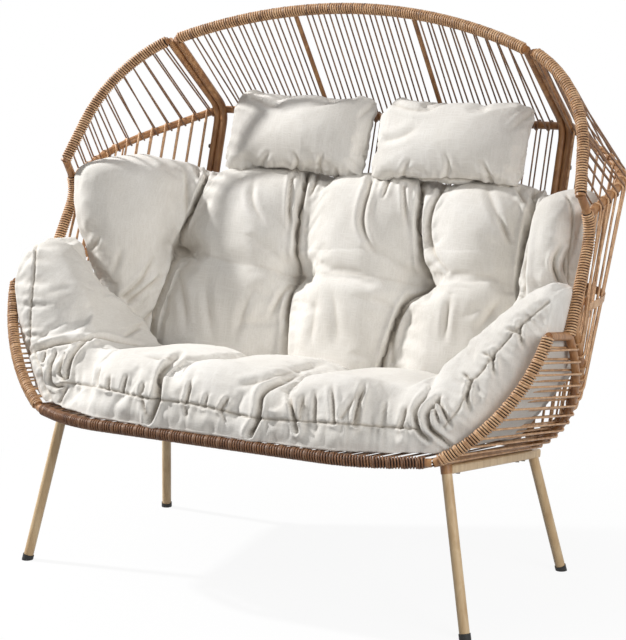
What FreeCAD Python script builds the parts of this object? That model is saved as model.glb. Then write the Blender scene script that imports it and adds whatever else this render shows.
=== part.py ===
"""Two seat egg chair on four splayed legs: a bolted tube frame with cord strands and loose cushions."""

import FreeCAD, Part
import math
import os

V = FreeCAD.Vector

# Driving dimensions in millimetres. X runs to the viewer's right, Y to the back, Z up.
# A part called left lies at negative X, and its right twin is the same shape mirrored.

# Stock
tube_d = 20.0            # bare frame tube
wrap_t = 4.5             # thickness that the cord wrapping adds to a tube
rib_d = 12.0             # slim ribs inside the hood
strand_w = 4.4           # width of one strand of the cord
round_sides = 16         # flats round every tube, leg and cap
bend_step = 60.0         # longest straight run along a tube's bend
bend_turn = 0.2          # largest turn between two such runs, in radians
fit = 0.3                # clearance where one piece rests on another
strand_fit = 0.6         # clearance of a strand from the bar that it loops round

# Front opening: a plane that leans back as it rises
opening_lean = 0.60      # run to the back for each unit of height
opening_floor_y = -545.0 # where that plane meets the floor

# Centre panel: hood and back
arch_end_x = 502.0
arch_end_z = 1304.0
arch_top_z = 1390.0
panel_gap = 0.3          # between the two rails that are bolted together
hood_bend_y = 474.0
hood_bend_z = 1100.0
rail_bend_r = 60.0
back_foot_y = 246.0
back_foot_z = 350.0
rib_x = 171.0

# Wing panels
wing_start_rise = -6.0   # of the wing's arch over the centre arch's end
wing_shoulder_x = 681.0
wing_shoulder_z = 1223.0
wing_tip_x = 734.0
wing_tip_z = 988.0
wing_bend_r = 360.0
knee_x = 741.0
knee_y = 104.0
knee_z = 908.0
post_foot_x = 750.0
post_foot_y = -38.0
post_foot_z = 672.0
post_bend_r = 90.0
plug_t = 6.0             # thickness and width of the plug in a wing arch's end
plug_d = 24.5
mid_corner_x = 754.0
mid_corner_y = 308.0
mid_corner_z = 1003.0
mid_bend_r = 190.0
mid_post_share = 0.66    # how far down the post's upper run the middle bar meets it
band_z = 720.0
band_h = 18.0
band_t = 2.4
band_set = 0.8           # of the band off the strands' faces

# Arm panels
arm_forward = 26.0       # of the arm's rim before the opening plane
arm_top_x = 751.0
arm_top_z = 690.0
arm_low_x = 552.0
arm_low_z = 410.0
arm_bulge = 41.0         # of the rim's arc off its chord
rear_low_x = 545.0
rear_low_y = 216.0
rear_low_z = 335.0
rear_bulge = 62.0        # of the rear tube's arc off its chord
wing_low_set = 31.0      # of the wing's lower tube behind the arm's rear tube

# Seat
front_corner_x = 397.0
front_corner_y = -407.0
front_bend_r = 380.0

# Base
base_rail_h = 22.0
base_rail_w = 27.0
base_rail_x = 545.0
base_rail_round = 5.0
corner_steps = 3         # flats round each long edge of a base rail
base_front_set = 84.0    # of a front leg's axis behind the arm rim's low end
base_rear_set = 560.0    # of a rear leg's axis behind the arm rim's low end
base_rear_over = 20.0    # that the rail runs past the rear leg's axis
leg_d = 25.0
socket_d = 28.0          # brown sleeve over a front leg's top
foot_front_x = 623.0
foot_front_y = -300.0
foot_rear_x = 598.0
foot_rear_y = 300.0
cap_h = 14.0             # height of a foot cap on its leg's axis
cap_floor = 3.0
cap_d = 28.5

# Bolts
bolt_d = 6.0
bolt_head_d = 12.0
bolt_head_h = 4.0
bolt_sides = 8
bolt_head_sides = 12
panel_bolt_z = (1000.0, 560.0)
base_bolt_sets = (140.0, 470.0, 505.0)  # behind the arm rim's low end

# Strands
strand_pitch = 33.0      # along straight bars
strand_stagger = 8.0     # between the strands of two panels that share a bar
wing_pairs = 12
wing_hood_first = 0.6    # place of a wing's first hood pair, in pitches along its bars
wing_wall_first = 0.9    # and of its first wall pair
wing_spare = 0.9         # pitches that the bars are longer than their pairs
arm_pairs = 12

# Seat cushion, in the frame of the sloping seat
seat_pad_t = 128.0       # at the pad's channels
seat_crown = 20.0
seat_channel_x = 150.0   # half width of the pad's middle panel
seat_fold_x = 430.0      # where the pad folds up into its flaps
seat_border = 66.0       # height of its front border
seat_border_draw = 8.0   # that the border's seams are drawn in
seat_front_set = 4.0     # of its front face behind the front rail's axis
seat_front_round = 90.0  # depth of the rounding over that face
seat_corner_x = 300.0    # where its front edge starts to draw back
seat_corner_draw = 236.0 # how far it has drawn back at the flaps' outer faces
seat_corner_power = 1.5  # of the curve that it draws back along
seat_flank_power = 2     # of the curve that its underside climbs the arms along
seat_crest_power = 8     # and of the one that its flaps' tops fall along
seat_flap_lean = 0.15    # run to the back for each unit of height of a flap's front edge
seat_foot_half_w = 512.0 # half width of its underside
seat_sole_half_w = 270.0 # of the flat middle of its underside
seat_sole_rise = 9.0     # of the underside towards the arms, where the front rail draws back
seat_flap_top = 424.0    # of the folded up flaps over the seat's bars
seat_flap_round = 24.0   # drop of their tops at the outer faces
seat_arm_gap = 34.0      # from the axis of the arm rim
seat_panel_steps = 3     # flats across one crown of the pad
seat_flap_steps = 4      # and up one flap

# Back cushion
back_pad_t = 138.0       # at the pad's channels
back_crown = 28.0
back_top_z = 948.0
back_sole_rise = 3.0     # of its underside over the middle seat strands
back_top_round = 24.0
back_waist_z = 560.0
back_side_set = 43.0     # of its flanks inside the posts' knees
back_rear_set = 59.0     # of its rear corners inside the centre rails
back_wing_reach = 300.0  # forward reach of its wings from the back's bars
back_wing_t = 84.0
back_wing_round = 18.0   # that its wings' corners lie behind their front edge
back_wing_thinning = 0.5 # share of their thickness that is lost where they are drawn in most
back_channel_draw = 0.25 # share of that draw that the outer channels follow
back_crown_fade = 0.5    # share of the crown that is lost at the top edge
back_waist_draw = 36.0   # that its wings draw in at the waist
back_foot_draw = 132.0   # that its wings draw in further at the foot
back_flank_bow = 20.0    # bow of its rear corners off a straight line
front_steps = 6          # flats across half of its front
wing_steps = 2           # and across a wing's inner face
tuft_pitch = 360.0
tuft_z = 722.0
tuft_r = 70.0
tuft_depth = 26.0
cushion_gap = 4.0        # between the seat cushion and the back cushion

# Head pillows
pillow_w = 410.0
pillow_h = 232.0
pillow_t = 112.0
pillow_edge_t = 18.0
pillow_draw = 9.0        # that its sides are drawn in
pillow_left_x = -188.0
pillow_right_x = 262.0
pillow_lean = 23.0       # degrees off upright

# Derived values
tube_r = tube_d / 2
wrapped_r = tube_r + wrap_t
rail_x = arch_end_x + 2.0
wing_rail_x = rail_x + tube_d + panel_gap
run_offset = tube_r + strand_fit + strand_w / 2
wrap_reach = math.sqrt(wrapped_r ** 2 - (run_offset - strand_w / 2) ** 2) + 2 * fit


def on_opening(x, z, forward=0.0):
    """Point of the front opening's plane at one width and height."""
    return V(x, opening_floor_y + opening_lean * z - forward, z)


def flip(point):
    """The same point on the other side of the chair."""
    return V(-point.x, point.y, point.z)


def mirrored(shape):
    return shape.mirror(V(0, 0, 0), V(1, 0, 0))


def lerp(a, b, t):
    return a + (b - a) * t


arch_end = on_opening(arch_end_x, arch_end_z)
arch_top = on_opening(0.0, arch_top_z)
rail_top = on_opening(rail_x, arch_end_z)
rail_bend = V(rail_x, hood_bend_y, hood_bend_z)
rail_foot = V(rail_x, back_foot_y, back_foot_z)
wing_start = on_opening(wing_rail_x + 4.0, arch_end_z + wing_start_rise)
wing_shoulder = on_opening(wing_shoulder_x, wing_shoulder_z)
wing_tip = on_opening(wing_tip_x, wing_tip_z)
wing_rail_top = on_opening(wing_rail_x, arch_end_z + wing_start_rise)
wing_rail_bend = V(wing_rail_x, hood_bend_y, hood_bend_z)
wing_rail_foot = V(wing_rail_x, back_foot_y, back_foot_z)
knee = V(knee_x, knee_y, knee_z)
post_foot = V(post_foot_x, post_foot_y, post_foot_z)
mid_corner = V(mid_corner_x, mid_corner_y, mid_corner_z)
mid_end = lerp(wing_tip, knee, mid_post_share)
arm_top = on_opening(arm_top_x, arm_top_z, arm_forward)
arm_low = on_opening(arm_low_x, arm_low_z, arm_forward)
rear_low = V(rear_low_x, rear_low_y, rear_low_z)
rear_top = post_foot + V(0, 0, -1.0)
front_corner = V(front_corner_x, front_corner_y, arm_low_z)
soft_offset = run_offset + strand_w / 2 + fit
seat_tilt = math.atan2(arm_low.z - rear_low.z, rear_low.y - front_corner.y)
arm_tilt = math.atan2(arm_low.z - rear_low.z, rear_low.y - arm_low.y)
back_tilt = math.atan2(hood_bend_y - back_foot_y, hood_bend_z - back_foot_z)
seat_turn = FreeCAD.Rotation(V(1, 0, 0), -math.degrees(seat_tilt))
seat_frame = FreeCAD.Placement(V(0, front_corner.y, arm_low.z), seat_turn)
arm_turn = FreeCAD.Rotation(V(1, 0, 0), -math.degrees(arm_tilt))
arm_frame = FreeCAD.Placement(V(0, arm_low.y, arm_low.z), arm_turn)
back_clear = soft_offset / math.cos(back_tilt)
seat_outer_x = arm_top_x - seat_arm_gap
outer_channel_x = tuft_pitch * 3 / 2
back_half_w = knee_x - back_side_set
back_rear_half_w = rail_x - back_rear_set


def arc_mid(a, b, bulge, toward):
    """Middle point of an arc from a to b that bulges toward a direction."""
    chord = (b - a).normalize()
    side = toward - chord * toward.dot(chord)
    return (a + b) * 0.5 + side.normalize() * bulge


arm_mid = arc_mid(arm_top, arm_low, arm_bulge, V(1, 0, -0.4))
rear_mid = arc_mid(rear_top, rear_low, rear_bulge, V(1, 0, -0.4))


def bent_wire(points, radius):
    """Wire of straight runs joined by tangent arcs."""
    edges = []
    start = points[0]
    for before, corner, after in zip(points, points[1:], points[2:]):
        into = (corner - before).normalize()
        out = (after - corner).normalize()
        turn = into.getAngle(out)
        reach = radius * math.tan(turn / 2)
        begin = corner - into * reach
        end = corner + out * reach
        inward = (out - into).normalize()
        middle = corner + inward * (radius / math.cos(turn / 2) - radius)
        if begin.distanceToPoint(start) > 0.01:
            edges.append(Part.LineSegment(start, begin).toShape())
        edges.append(Part.Arc(begin, middle, end).toShape())
        start = end
    edges.append(Part.LineSegment(start, points[-1]).toShape())
    return Part.Wire(edges)


def arc_wire(a, middle, b):
    return Part.Wire([Part.Arc(a, middle, b).toShape()])


def ring(centre, heading, side, diameter, sides=round_sides):
    """Closed outline of a round section, with one corner toward a side direction."""
    up = heading.cross(side).normalize() * (diameter / 2)
    side = up.cross(heading).normalize() * (diameter / 2)
    turns = [2 * math.pi * (k + 0.5) / sides for k in range(sides)]
    points = [centre + side * math.cos(turn) + up * math.sin(turn) for turn in turns]
    return Part.makePolygon(points + points[:1])


def bend_side(wire):
    """Direction square to the plane that a wire bends in."""
    for edge in wire.OrderedEdges:
        if isinstance(edge.Curve, Part.Circle):
            return edge.Curve.Axis
    heading = wire.Edges[0].tangentAt(wire.Edges[0].FirstParameter)
    return V(0, 0, 1) if abs(heading.z) < 0.9 else V(1, 0, 0)


def stations(wire):
    """Points and directions along a wire, close together only in its bends."""
    found = []
    for edge in wire.OrderedEdges:
        runs = 1
        if isinstance(edge.Curve, Part.Circle):
            turn = edge.Length / edge.Curve.Radius
            runs = max(2, math.ceil(edge.Length / bend_step), math.ceil(turn / bend_turn))
        for i in range(runs + 1):
            at = edge.getParameterByLength(edge.Length * i / runs)
            point, heading = edge.valueAt(at), edge.tangentAt(at)
            if edge.Orientation == "Reversed":
                heading = heading * -1
            if not found or point.distanceToPoint(found[-1][0]) > 0.01:
                found.append((point, heading))
    return found


def swept(wire, diameter):
    """Round bar along a wire of straight runs and arcs that lie in one plane."""
    side = bend_side(wire)
    rings = [ring(point, heading, side, diameter) for point, heading in stations(wire)]
    return Part.makeLoft(rings, True, True)


def straight(a, b, diameter, sides=round_sides):
    heading = b - a
    side = V(0, 0, 1) if abs(heading.z) < 0.9 * heading.Length else V(1, 0, 0)
    return Part.Face(ring(a, heading, side, diameter, sides)).extrude(heading)


def point_on(wire, share):
    """Point and direction at a share of a wire's length."""
    length = share * wire.Length
    for edge in wire.OrderedEdges:
        if length <= edge.Length or edge.isSame(wire.OrderedEdges[-1]):
            at = edge.getParameterByLength(min(length, edge.Length))
            return edge.valueAt(at), edge.tangentAt(at)
        length -= edge.Length
    return None


def strand(a, b, normal):
    """Square strand from a to b with one side facing the normal."""
    along = (b - a).normalize()
    across = along.cross(normal).normalize() * (strand_w / 2)
    up = across.cross(along).normalize() * (strand_w / 2)
    corners = [a + across + up, a - across + up, a - across - up, a + across - up]
    face = Part.Face(Part.makePolygon(corners + corners[:1]))
    return face.extrude(b - a)


def strand_pair(top, top_dir, top_reach, low, low_dir, low_reach):
    """The outer and inner run of one loop between two bars.

    A positive reach stops a run short of the bar's axis, and a negative one runs past it."""
    along = (low - top).normalize()
    top_normal = along.cross(top_dir).normalize()
    low_normal = along.cross(low_dir).normalize()
    a = top + along * (top_reach / math.sin(along.getAngle(top_dir)))
    b = low - along * (low_reach / math.sin(along.getAngle(low_dir)))
    return [strand(a + top_normal * side, b + low_normal * side, top_normal + low_normal)
            for side in (run_offset, -run_offset)]


def even_places(length, margin, pitch):
    """Places along a straight bar, evenly pitched about its middle."""
    count = int((length / 2 - margin) / pitch)
    return [i * pitch for i in range(-count, count + 1)]


# Centre panel

centre_arch_wire = arc_wire(flip(arch_end), arch_top, arch_end)


def centre_arch():
    return swept(centre_arch_wire, 2 * wrapped_r)


def centre_rail():
    rail = swept(bent_wire([rail_top, rail_bend, rail_foot], rail_bend_r), tube_d)
    return rail.cut(centre_arch())


def crossbar():
    bar = straight(flip(rail_bend), rail_bend, tube_d)
    return bar.cut(centre_rail()).cut(mirrored(centre_rail()))


def arch_point(x):
    """Point and direction of the centre arch at one width."""
    radius = centre_arch_wire.Edges[0].Curve.Radius
    centre = centre_arch_wire.Edges[0].Curve.Center
    up = (arch_top - centre).normalize()
    rise = math.sqrt(radius ** 2 - x ** 2)
    point = centre + V(x, 0, 0) + up * rise
    return point, (V(1, 0, 0) * rise - up * x).normalize()


def hood_rib(x):
    top, _ = arch_point(x)
    rib = straight(top, V(x, hood_bend_y, hood_bend_z), rib_d)
    return rib.cut(centre_arch()).cut(crossbar())


def back_lower_bar():
    bar = straight(flip(rail_foot), rail_foot, tube_d)
    return bar.cut(centre_rail()).cut(mirrored(centre_rail()))


def strand_places(stagger):
    """Places of the centre panel's strand pairs, clear of the ribs."""
    margin = tube_r + strand_w + strand_stagger
    places = [x + stagger for x in even_places(2 * rail_x, margin, strand_pitch)]
    return [x for x in places if abs(abs(x) - rib_x) > rib_d / 2 + strand_w]


def hood_strands():
    runs = []
    for x in strand_places(0):
        top, direction = arch_point(x)
        low = V(x, hood_bend_y, hood_bend_z)
        runs += strand_pair(top, direction, wrap_reach, low, V(1, 0, 0), -tube_r)
    return Part.Compound(runs)


def back_strands():
    runs = []
    for x in strand_places(strand_stagger):
        top = V(x, hood_bend_y, hood_bend_z)
        low = V(x, back_foot_y, back_foot_z)
        runs += strand_pair(top, V(1, 0, 0), -tube_r, low, V(1, 0, 0), -tube_r)
    return Part.Compound(runs)


# Wing panels, modelled on the right

wing_arch_wire = bent_wire([wing_start, wing_shoulder, wing_tip], wing_bend_r)
post_wire = bent_wire([wing_tip, knee, post_foot], post_bend_r)
mid_wire = bent_wire([wing_rail_bend, mid_corner, mid_end], mid_bend_r)
low_shift = V(0, 4, 3).normalize() * wing_low_set
wing_low_wire = arc_wire(rear_top + low_shift, rear_mid + low_shift, wing_rail_foot)


def wing_arch():
    return swept(wing_arch_wire, 2 * wrapped_r)


def wing_end_plug():
    last = wing_arch_wire.OrderedEdges[-1]
    heading = last.tangentAt(last.LastParameter)
    return straight(wing_tip, wing_tip + heading * plug_t, plug_d)


def wing_rail():
    rail = swept(bent_wire([wing_rail_top, wing_rail_bend, wing_rail_foot], rail_bend_r), tube_d)
    return rail.cut(wing_arch())


def wing_post():
    """Bare from the arch's tip round the knee, and wrapped from there down."""
    wrapped = Part.Wire([post_wire.OrderedEdges[-1]])
    post = swept(post_wire, tube_d).fuse(swept(wrapped, 2 * wrapped_r)).removeSplitter()
    return post.cut(wing_arch()).cut(wing_end_plug())


def wing_mid_bar():
    return swept(mid_wire, tube_d).cut(wing_rail()).cut(wing_post())


def wing_lower_tube():
    return swept(wing_low_wire, tube_d).cut(wing_post()).cut(wing_rail())


def wing_hood_strands():
    runs = []
    for i in range(wing_pairs):
        share = (i + wing_hood_first) / (wing_pairs + wing_spare)
        top, top_dir = point_on(wing_arch_wire, share)
        low, low_dir = point_on(mid_wire, share)
        runs += strand_pair(top, top_dir, wrap_reach, low, low_dir, -tube_r / 2)
    return Part.Compound(runs)


def wall_lines():
    """Ends and bar directions of the wall's strand pairs."""
    lines = []
    for i in range(wing_pairs):
        share = (i + wing_wall_first) / (wing_pairs + wing_spare)
        lines.append(point_on(mid_wire, share) + point_on(wing_low_wire, 1 - share))
    return lines


def wing_wall_strands():
    runs = []
    for top, top_dir, low, low_dir in wall_lines():
        runs += strand_pair(top, top_dir, -tube_r / 2, low, low_dir * -1, -tube_r)
    return Part.Compound(runs)


# Arm panels, modelled on the right

arm_wire = arc_wire(arm_top, arm_mid, arm_low)
rear_wire = arc_wire(rear_top, rear_mid, rear_low)


def arm_rim():
    return swept(arm_wire, 2 * wrapped_r)


def arm_rear_tube():
    return swept(rear_wire, tube_d).cut(wing_post())


def arm_top_tube():
    return straight(arm_top, rear_top, tube_d).cut(arm_rim()).cut(arm_rear_tube()).cut(wing_post())


def arm_bottom_tube():
    tube = straight(arm_low, rear_low, tube_d).cut(arm_rim()).cut(front_rail()).cut(arm_rear_tube())
    for hole in bolt_shanks(fit):
        tube = tube.cut(hole)
    return tube


def arm_strands():
    runs = []
    for i in range(arm_pairs):
        share = (i + 1.0) / (arm_pairs + 1.0)
        front, front_dir = point_on(arm_wire, share)
        rear, rear_dir = point_on(rear_wire, share)
        runs += strand_pair(front, front_dir, wrap_reach, rear, rear_dir, -tube_r)
    return Part.Compound(runs)


# Tie band round the wall strands

def band_row(height):
    """Points where the wall's strand pairs cross one height, from the rail to the post."""
    row = []
    for top, _, low, _ in wall_lines():
        share = (top.z - height) / (top.z - low.z)
        if 0 < share < 1:
            row.append(lerp(top, low, share))
    return row


def band_outline(height, inner, outer):
    """Closed outline of a strip along the wall at one height, between two offsets to one side."""
    row = band_row(height)
    near, far = [], []
    for i, point in enumerate(row):
        before, after = row[max(i - 1, 0)], row[min(i + 1, len(row) - 1)]
        side = (after - before).cross(V(0, 0, 1)).normalize()
        near.append(point + side * inner)
        far.append(point + side * outer)
    outline = near + far[::-1]
    return Part.makePolygon(outline + outline[:1])


def wing_tie_band():
    near = soft_offset + band_set
    strips = []
    for inner, outer in ((near, near + band_t), (-near - band_t, -near)):
        outlines = [band_outline(z, inner, outer) for z in (band_z, band_z + band_h)]
        strips.append(Part.makeLoft(outlines, True, True))
    return Part.Compound(strips)


# Seat

front_wire = bent_wire([flip(arm_low), flip(front_corner), front_corner, arm_low], front_bend_r)
rear_bar_wire = Part.Wire([Part.LineSegment(flip(rear_low), rear_low).toShape()])


def front_rail():
    return swept(front_wire, 2 * wrapped_r).cut(arm_rim()).cut(mirrored(arm_rim()))


def seat_rear_bar():
    bar = straight(flip(rear_low), rear_low, tube_d)
    for neighbour in (arm_rear_tube(), arm_bottom_tube()):
        bar = bar.cut(neighbour).cut(mirrored(neighbour))
    return bar


def seat_strands():
    runs = []
    count = int(front_wire.Length / strand_pitch)
    for i in range(1, count):
        top, top_dir = point_on(front_wire, i / count)
        low, low_dir = point_on(rear_bar_wire, i / count)
        runs += strand_pair(top, top_dir, wrap_reach, low, low_dir, -tube_r)
    return Part.Compound(runs)


# Base, modelled on the right. Places along the arm are taken in the sloping frame of its bottom tube.

rail_under = -tube_r - fit - base_rail_h


def arm_point(x, y, z):
    return arm_frame.multVec(V(x, y, z))


front_foot = V(foot_front_x, foot_front_y, 0)
rear_foot = V(foot_rear_x, foot_rear_y, 0)
front_leg_top = arm_point(base_rail_x, base_front_set, rail_under)
rear_leg_top = arm_point(base_rail_x, base_rear_set, rail_under + base_rail_h / 2)
below_floor = Part.makeBox(4000, 4000, 1000, V(-2000, -2000, -1000))


def rounded_bar(width, length, height, radius):
    """Bar along Y with rounded long edges, from Y 0 and centred on X and Z."""
    corners = []
    for quarter, (across, up) in enumerate(((1, 1), (-1, 1), (-1, -1), (1, -1))):
        centre = V(across * (width / 2 - radius), 0, up * (height / 2 - radius))
        for step in range(corner_steps + 1):
            turn = math.pi / 2 * (quarter + step / corner_steps)
            corners.append(centre + V(math.cos(turn), 0, math.sin(turn)) * radius)
    return Part.Face(Part.makePolygon(corners + corners[:1])).extrude(V(0, length, 0))


def base_rail():
    length = base_rear_set + base_rear_over - base_front_set
    rail = rounded_bar(base_rail_w, length, base_rail_h, base_rail_round)
    start = arm_point(base_rail_x, base_front_set, rail_under + base_rail_h / 2)
    rail.Placement = FreeCAD.Placement(start, arm_turn)
    rail = rail.cut(straight(*socket_axis(), socket_d)).cut(straight(front_foot, front_leg_top, leg_d))
    for hole in bolt_shanks(fit):
        rail = rail.cut(hole)
    return rail


def socket_axis():
    """Lower and upper end of the sleeve's axis, which carries on the front leg's."""
    heading = (front_leg_top - front_foot).normalize()
    return front_leg_top, front_leg_top + heading * (base_rail_h + tube_r)


def front_leg_socket():
    low, high = socket_axis()
    socket = straight(low, high, socket_d)
    return socket.cut(arm_bottom_tube())


def run_past(foot, top):
    """Point on a leg's axis below the floor, where the floor's plane then cuts the leg."""
    return foot - (top - foot).normalize() * cap_d


def front_leg():
    leg = straight(run_past(front_foot, front_leg_top), front_leg_top, leg_d)
    return leg.cut(below_floor.translated(V(0, 0, cap_floor)))


def rear_leg():
    leg = straight(run_past(rear_foot, rear_leg_top), rear_leg_top, leg_d)
    return leg.cut(below_floor.translated(V(0, 0, cap_floor))).cut(base_rail())


def foot_cap(foot, top, leg):
    heading = (top - foot).normalize()
    cap = straight(run_past(foot, top), foot + heading * cap_h, cap_d).cut(below_floor)
    return cap.cut(leg)


def front_foot_cap():
    return foot_cap(front_foot, front_leg_top, front_leg())


def rear_foot_cap():
    return foot_cap(rear_foot, rear_leg_top, rear_leg())


# Bolts

def bolt_shanks(clearance):
    """Shanks or holes up through the base rail into the arm's bottom tube."""
    up = arm_frame.Rotation.multVec(V(0, 0, 1))
    shanks = []
    for y in base_bolt_sets:
        start = arm_point(base_rail_x, y, rail_under)
        end = start + up * (base_rail_h + tube_r)
        shanks.append(straight(start, end, bolt_d + 2 * clearance, bolt_sides))
    return shanks


def base_bolts():
    """The three bolts under one base rail."""
    up = arm_frame.Rotation.multVec(V(0, 0, 1))
    bolts = []
    for y, shank in zip(base_bolt_sets, bolt_shanks(0)):
        start = arm_point(base_rail_x, y, rail_under)
        head = straight(start - up * bolt_head_h, start, bolt_head_d, bolt_head_sides)
        bolts.append(head.fuse(shank).removeSplitter())
    return Part.Compound(bolts)


def panel_bolt_place(z):
    share = (z - back_foot_z) / (hood_bend_z - back_foot_z)
    return V(wing_rail_x + tube_r, back_foot_y + (hood_bend_y - back_foot_y) * share, z)


def panel_bolts():
    """Bolts through the wing rail and the centre rail, with their heads on the wing's side."""
    bolts = []
    length = wing_rail_x + tube_r - rail_x
    for z in panel_bolt_z:
        place = panel_bolt_place(z)
        head = straight(place, place + V(bolt_head_h, 0, 0), bolt_head_d, bolt_head_sides)
        shank = straight(place, place - V(length, 0, 0), bolt_d, bolt_sides)
        bolts.append(head.fuse(shank).removeSplitter())
    return Part.Compound(bolts)


def panel_holes():
    length = wing_rail_x + tube_r - rail_x
    places = [panel_bolt_place(z) for z in panel_bolt_z]
    return [straight(place, place - V(length, 0, 0), bolt_d + 2 * fit, bolt_sides) for place in places]


# Soft parts

def closed_face(edges):
    return Part.Face(Part.Wire(edges))


def line(a, b):
    return Part.LineSegment(a, b).toShape()


def smooth(t):
    """Share that leaves 0 and reaches 1 without a bend."""
    t = min(max(t, 0), 1)
    return t * t * (3 - 2 * t)


def seat_crown_at(x):
    """Height of the pad's crown at one width, nothing at its channels and folds."""
    if x < seat_channel_x:
        place = x / seat_channel_x
    elif x < seat_fold_x:
        place = 2 * (x - seat_channel_x) / (seat_fold_x - seat_channel_x) - 1
    else:
        return 0
    return seat_crown * math.sqrt(1 - place * place)


def seat_underside(x):
    """Height of the seat cushion's underside, flat in the middle and rising up the flanks."""
    rise = max(0, x - seat_sole_half_w) / (seat_foot_half_w - seat_sole_half_w)
    flank = max(0, x - seat_foot_half_w) / (seat_outer_x - seat_foot_half_w)
    rise_to_arm = arm_top_z - arm_low_z - soft_offset
    return soft_offset + seat_sole_rise * min(rise, 1) + rise_to_arm * flank ** seat_flank_power


def seat_topside(x):
    """Height of the seat cushion's top, from the pad up over the flap's crest."""
    flap = max(0, x - seat_fold_x) / (seat_outer_x - seat_fold_x)
    crest = soft_offset + seat_pad_t
    crest += (seat_flap_top - crest) * smooth(flap * seat_flap_top / (seat_flap_top - seat_flap_round))
    return crest - seat_flap_round * flap ** seat_crest_power


def seat_slice(x):
    """Outline of the seat cushion at one width, from its front border over the top to the rear."""
    low, high = seat_underside(abs(x)), seat_topside(abs(x))
    corner = max(0, abs(x) - seat_corner_x) / (seat_outer_x - seat_corner_x)
    front = seat_front_set + seat_corner_draw * corner ** seat_corner_power
    border = low + (high - low) * seat_border / seat_pad_t
    crown = seat_crown_at(abs(x))
    rear = rear_low.y - front_corner.y + tube_d
    points = [
        (front + seat_border_draw, low),
        (front, (low + border) / 2),
        (front + seat_border_draw, border),
        (front + seat_front_round / 3, border + (high - border) * 2 / 3),
        (front + seat_front_round, high + crown * 3 / 4),
        ((front + rear) / 2, high + crown),
        (rear, high),
        (rear, low),
    ]
    outline = [V(x, y + seat_flap_lean * (z - low), z) for y, z in points]
    return Part.makePolygon(outline + outline[:1])


def behind(x, depth, z):
    """Point at one depth before the back's bars, level with a height."""
    return V(x, back_foot_y + (z - back_foot_z) * math.tan(back_tilt) - depth, z)


def back_room(gap):
    """Block along the back that the seat cushion keeps clear of."""
    front = back_clear + back_pad_t + back_crown + gap
    reach = back_clear + back_wing_reach + gap
    bend = outer_channel_x - back_crown
    tip = back_half_w - back_wing_t - back_crown
    beyond = back_half_w * 2
    corners = ((bend, front), (tip, reach), (beyond, reach), (beyond, -reach))
    half = [behind(x, depth, 0) for x, depth in corners]
    outline = half + [flip(point) for point in reversed(half)]
    lean = V(0, math.tan(back_tilt), 1)
    return Part.Face(Part.makePolygon(outline + outline[:1])).extrude(lean * (2 * back_top_z))


def seat_cushion():
    """Loft across the chair, so that its flaps fold up without a seam."""
    panel = [seat_channel_x * i / seat_panel_steps for i in range(1, seat_panel_steps)]
    side = [lerp(seat_channel_x, seat_fold_x, i / seat_panel_steps) for i in range(seat_panel_steps)]
    climb = [math.sqrt(i / seat_flap_steps) for i in range(seat_flap_steps + 1)]
    flap = [lerp(seat_fold_x, seat_outer_x, t) for t in climb]
    half = panel + side + flap
    slices = [seat_slice(x) for x in [-x for x in reversed(half)] + [0] + half]
    cushion = Part.makeLoft(slices, True, True)
    cushion.Placement = seat_frame
    return cushion.cut(back_room(cushion_gap)).Solids[0]


def back_front(x, z, crown_share):
    """Depth of the back cushion's front, with its crowns between the channels and its tufts."""
    to_channel = abs((x / tuft_pitch) % 1 - 0.5) * 2
    crown = math.sqrt(1 - (1 - to_channel) ** 2) * back_crown * crown_share
    away = math.hypot(to_channel * tuft_pitch / 2, z - tuft_z) / tuft_r
    return back_clear + back_pad_t + crown - tuft_depth * (1 - smooth(away))


def back_section(z, draw, thin, crown_share):
    """Outline of the back cushion at one height, its wings drawn in and its edge thinned."""
    outer_x = back_half_w - draw
    drawn = draw / (back_foot_draw + back_waist_draw)
    inner_x = outer_x - back_wing_t * (1 - back_wing_thinning * drawn)
    reach = back_clear + back_wing_reach - draw
    half = []
    for i in range(1, front_steps + 1):
        x = outer_channel_x * i / front_steps
        inset = draw * back_channel_draw * i / front_steps
        half.append(behind(x - inset, back_front(x, z, crown_share) - thin, z))
    start, end = half[-1], behind(inner_x + thin, reach - back_wing_round, z)
    for i in range(1, wing_steps + 1):
        t = i / wing_steps
        bulge = back_crown * crown_share * math.sqrt(1 - (2 * t - 1) ** 2) * (1 - drawn)
        half.append(lerp(start, end, t) + V(-1, -2, 0).normalize() * bulge)
    half.append(behind((inner_x + outer_x) / 2, reach - thin / 2, z))
    half.append(behind(outer_x - thin, reach - back_wing_round, z))
    flank = behind(outer_x - thin, reach / 2, z)
    heel = behind(back_rear_half_w - thin, back_clear, z)
    for i in range(wing_steps + 1):
        t = i / wing_steps
        bow = math.sin(math.pi * t) * back_flank_bow
        half.append(lerp(flank, heel, t) + V(3, 4, 0).normalize() * bow)
    middle = behind(0, back_front(0, z, crown_share) - thin, z)
    points = [middle] + half + [flip(point) for point in reversed(half)]
    return Part.makePolygon(points + points[:1])


def back_cushion():
    """Loft up the chair, cut off level with the seat's strands."""
    foot_z = rear_low_z - tube_d
    round_z = back_top_z - back_top_round
    heights = [foot_z, back_waist_z, tuft_z, round_z, back_top_z]
    sections = []
    for z in heights:
        draw = back_foot_draw * (1 - smooth((z - foot_z) / (back_waist_z - foot_z)))
        draw += back_waist_draw * (1 - smooth((z - back_waist_z) / (back_top_z - back_waist_z)))
        thin = max(0, z - round_z)
        crown_share = 1 - back_crown_fade * smooth((z - tuft_z) / (back_top_z - tuft_z))
        sections.append(back_section(z, draw, thin, crown_share))
    under_seat = below_floor.translated(V(0, 0, soft_offset + back_sole_rise))
    under_seat.Placement = seat_frame.multiply(under_seat.Placement)
    return Part.makeLoft(sections, True, True).cut(under_seat).Solids[0]


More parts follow.
